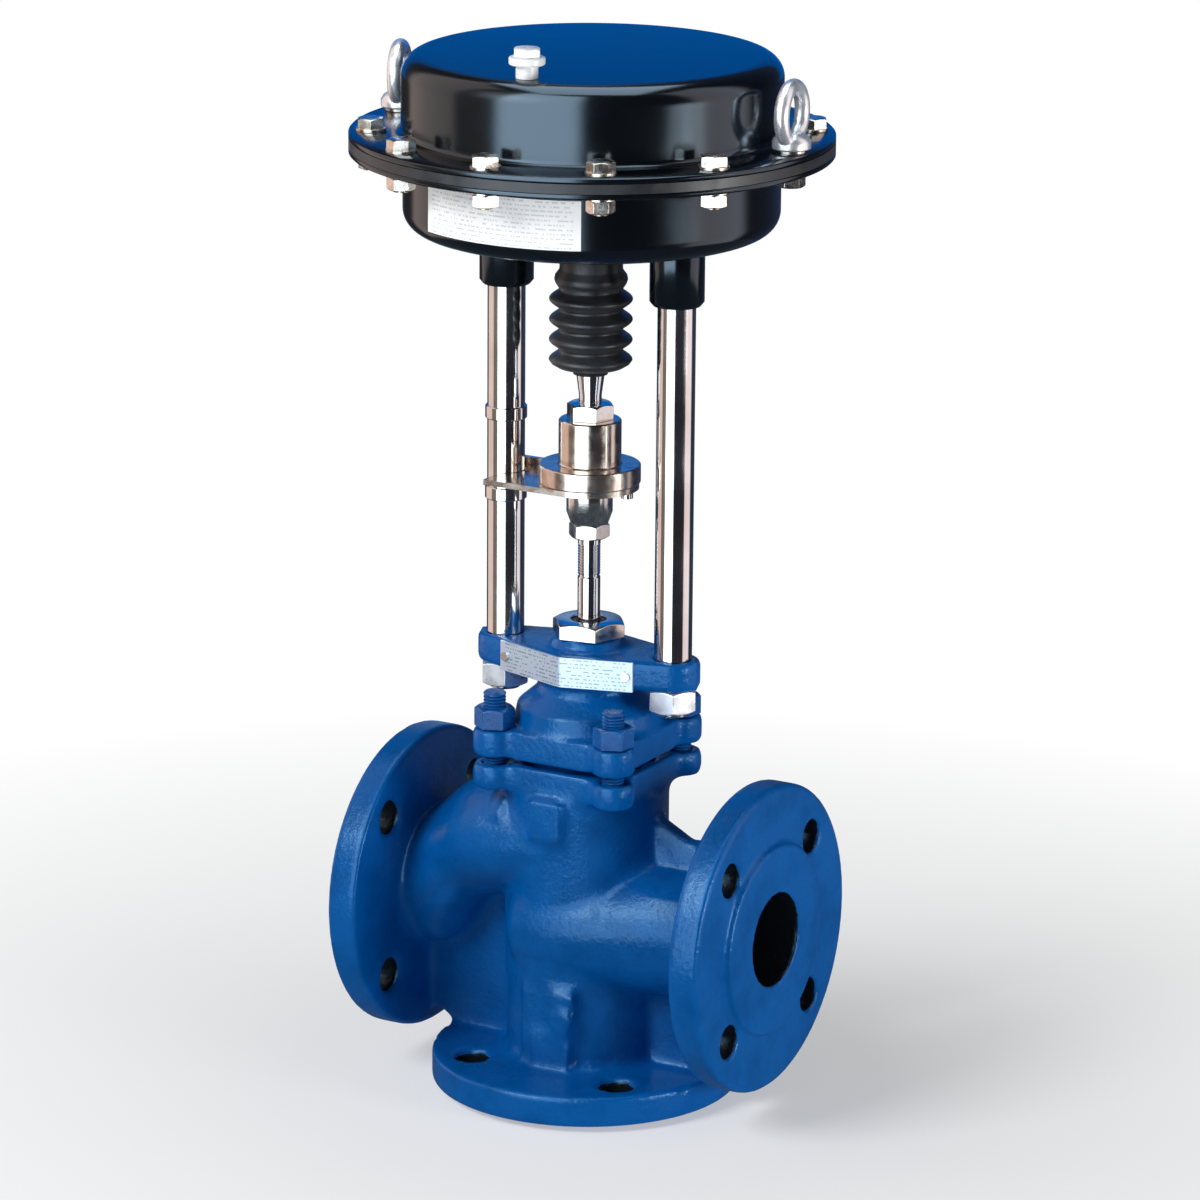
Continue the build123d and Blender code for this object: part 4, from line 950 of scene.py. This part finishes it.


# A strong coil spring inside the dome pushes the plate down. It is hot-wound steel, with
# the same grey spring-steel finish as the packing spring.
wire_radius, coil_radius, coil_low, coil_rise = 3.45, 55, 495, 58.4
coil_turns, coil_steps = 4, 4 * 32
spring = bmesh.new()
bmesh.ops.create_circle(spring, cap_ends=True, segments=12, radius=wire_radius * mm)
moved(spring, 90, "X", (coil_radius, 0, coil_low))
bmesh.ops.spin(
    spring, geom=spring.verts[:] + spring.edges[:] + spring.faces[:], cent=(0, 0, 0),
    axis=(0, 0, 1), dvec=(0, 0, coil_rise * mm / coil_steps), angle=coil_turns * 2 * math.pi,
    steps=coil_steps, use_merge=False,
)
bmesh.ops.recalc_face_normals(spring, faces=spring.faces)
coil = put("wound_spring", spring, spring_steel)
coil.data.shade_smooth()
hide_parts("actuator_spring")
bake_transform(coil)
seal = lathe([(7.4, 475), (10, 475), (10, 481), (8.6, 481), (8.2, 478.6), (7.4, 480.6)], 64)
piece("lip_seal", seal, rubber, "stem_seal", edge=0)


# Twelve bolts clamp the rims. They are zinc plated with a faint yellow tint. The nuts
# hang below, except under the two lifting eyes, where the bolt comes from below.
yellow_zinc = finish(
    "yellow_zinc", (0.80, 0.74, 0.66), (0.66, 0.56, 0.46), (0.16, 0.30), metal=1.0,
    patch=4 * mm, grain=0.6 * mm, depth=0.03 * mm,
)
bolt_circle, first_bolt_turn, washer_thickness = 114, 2.1, 1.6
under_rim, over_rim, over_washer = 506.9, 519.5, 521.1
rim_places = []
for index in range(12):
    turn = first_bolt_turn + 30 * index
    angle = math.radians(turn)
    rim_places.append((bolt_circle * math.cos(angle), bolt_circle * math.sin(angle), turn))
bolts, rim_nuts, washers = [], [], []
for index, (x, y, turn) in enumerate(rim_places):
    for low in (under_rim, over_rim):
        high = low + washer_thickness
        washers.append(lathe([(4.3, low), (8.0, low), (8.0, high), (4.3, high)], 32, (x, y)))
    if index % 6 == 0:
        shank = [(0, under_rim), (4, under_rim), (4, 526.1), (0, 526.1)]
        bolts.append(lathe(shank, 24, (x, y)))
        bolts.append(hex_nut(13.0, 501.6, under_rim, 0.0, (x, y), turn + 30))
    else:
        bolts.append(thread(4.0, 499.0, over_washer, 1.25, (x, y)))
        bolts.append(hex_nut(13.0, over_washer, 526.4, 0.0, (x, y), turn + 30, False))
        rim_nuts.append(hex_nut(13.0, 500.1, under_rim, 4.05, (x, y), turn + 30))
piece("rim_bolt_set", merge(*bolts), yellow_zinc, "casing_bolts", edge=0.2)
piece("rim_nut_set", merge(*rim_nuts), yellow_zinc, "casing_nuts", edge=0.2)
piece("rim_washer_set", merge(*washers), yellow_zinc, "casing_washers", edge=0.2)


# Two drop-forged eye nuts take a lifting sling. They are bright zinc plated.
def eye_nut(x, y, turn):
    """Round ring on a turned foot, its bore across the given turn."""
    bar_radius, ring_radius, ring_height = 3.95, 13.95, 539.1
    bm = bmesh.new()
    bmesh.ops.create_circle(bm, segments=20, radius=bar_radius * mm)
    moved(bm, 90, "X", (ring_radius, 0, 0))
    bmesh.ops.spin(
        bm, geom=bm.verts[:] + bm.edges[:], cent=(0, 0, 0), axis=(0, 0, 1),
        angle=2 * math.pi, steps=48, use_merge=True,
    )
    bmesh.ops.remove_doubles(bm, verts=bm.verts, dist=0.001 * mm)
    bmesh.ops.recalc_face_normals(bm, faces=bm.faces)
    moved(bm, 90, "Y", (0, 0, ring_height))
    foot = [(4.0, 521.15), (9.4, 521.15), (10, 521.8), (10, 525.2), (8.6, 527.6), (5.5, 529.6)]
    return moved(merge(bm, lathe(foot + [(4.0, 529.6)], 40)), turn, by=(x, y, 0))


eyes = merge(*[
    eye_nut(x, y, turn + twist) for (x, y, turn), twist in zip(rim_places[::6], (4.0, 18.0))
])
piece("eye_nut_set", eyes, bright_zinc, "lifting_eyes", edge=0.3)


# The breather on the dome is a white plastic cap with a hexagon, on a short neck.
white_plastic = finish(
    "white_plastic", (0.88, 0.89, 0.90), (0.82, 0.83, 0.84), (0.25, 0.38),
    patch=4 * mm, grain=0.5 * mm, depth=0.02 * mm,
)
breather_place = (8.0, -80.0)
cap_top = 571.1
breather = merge(
    lathe(
        [(0, 553), (4.4, 553), (4.4, 560), (5.7, 560), (5.7, 566.9), (8.6, 566.9), (9.25, 567.5),
         (9.25, 570.5), (8.6, cap_top), (0, cap_top)], 48, breather_place
    ),
    hex_nut(13.0, cap_top, 575.6, 0.0, breather_place, 0, False),
)
piece("breather", breather, white_plastic, "vent_plug", edge=0.5)


# The data label is a thin white plate glued round the front of the lower casing. Its
# print is left as plain grey rules.
def ruled(name, colour, ink, rows, columns, rough, metal=0.0, ink_share=0.55):
    """Plate with rows of plain dashes, on the plate's own map."""
    half_line, half_width = 0.17, 0.46
    material = finish(name, colour, colour, rough, metal=metal, grain=1.0 * mm, depth=0.01 * mm)
    nodes = material.node_tree.nodes
    links = material.node_tree.links
    across, up, _ = place_axes(material, "UV")

    def step(operation, first, second=0.0):
        return calc(material, operation, first, second)

    def from_middle(value):
        return step("ABSOLUTE", step("SUBTRACT", value, 0.5))

    row_place = step("MULTIPLY", up, float(rows))
    line = step("LESS_THAN", from_middle(step("FRACT", row_place)), half_line)
    column = step("FLOOR", step("MULTIPLY", across, float(columns)))
    dash_place = nodes.new("ShaderNodeCombineXYZ")
    links.new(column, dash_place.inputs[0])
    links.new(step("FLOOR", row_place), dash_place.inputs[1])
    dash = nodes.new("ShaderNodeTexWhiteNoise")
    dash.noise_dimensions = "2D"
    links.new(dash_place.outputs[0], dash.inputs["Vector"])
    printed = step("LESS_THAN", dash.outputs["Value"], ink_share)
    inside = step("LESS_THAN", from_middle(across), half_width)
    recolour(material, step("MULTIPLY", step("MULTIPLY", line, printed), inside), ink)
    return material


def map_plate(bm, across, up):
    """Gives a plate its own map from two functions of a point."""
    layer = bm.loops.layers.uv.new("plate")
    for face in bm.faces:
        for loop in face.loops:
            loop[layer].uv = (across(loop.vert.co), up(loop.vert.co))


label_paper = ruled("label_print", (0.90, 0.91, 0.92), (0.58, 0.61, 0.68), 11, 120, (0.30, 0.40))
label_start, label_sweep = -117.7, 54.5
label_low, label_high = 477.0, 502.5
label_back, label_face = 97.9, 98.4
label = bmesh.new()
corners = [label.verts.new((r * mm, 0, z * mm)) for r, z in (
    (label_back, label_low), (label_face, label_low), (label_face, label_high),
    (label_back, label_high),
)]
label.faces.new(corners)
moved(label, label_start)
bmesh.ops.spin(
    label, geom=label.verts[:] + label.edges[:] + label.faces[:], cent=(0, 0, 0),
    axis=(0, 0, 1), angle=math.radians(label_sweep), steps=28, use_merge=False,
)
bmesh.ops.recalc_face_normals(label, faces=label.faces)
map_plate(
    label,
    lambda p: (math.degrees(math.atan2(p.y, p.x)) - label_start) / label_sweep,
    lambda p: (p.z / mm - label_low) / (label_high - label_low),
)
piece("data_label", label, label_paper, "actuator_label", edge=0, smooth=40)


# The nameplate is thin aluminium, bent over the crosshead's front and held by two rivets.
# Its blue-grey tint is a painted reflection of blue surroundings. Its lines are plain rules too.
plate_print = ruled(
    "nameplate_print", (0.56, 0.67, 0.80), (0.25, 0.33, 0.44), 8, 90, (0.28, 0.40), metal=0.6,
    ink_share=0.45,
)
plate_left, plate_length = -43.0, 81.0
plate_low, plate_height = 228.5, 16.0
nameplate = merged_copy("yoke_nameplate")
map_plate(
    nameplate,
    lambda p: (p.x / mm - plate_left) / plate_length,
    lambda p: (p.z / mm - plate_low) / plate_height,
)
piece("riveted_nameplate", nameplate, plate_print, "yoke_nameplate", edge=0)
dress("nameplate_rivets", trim)
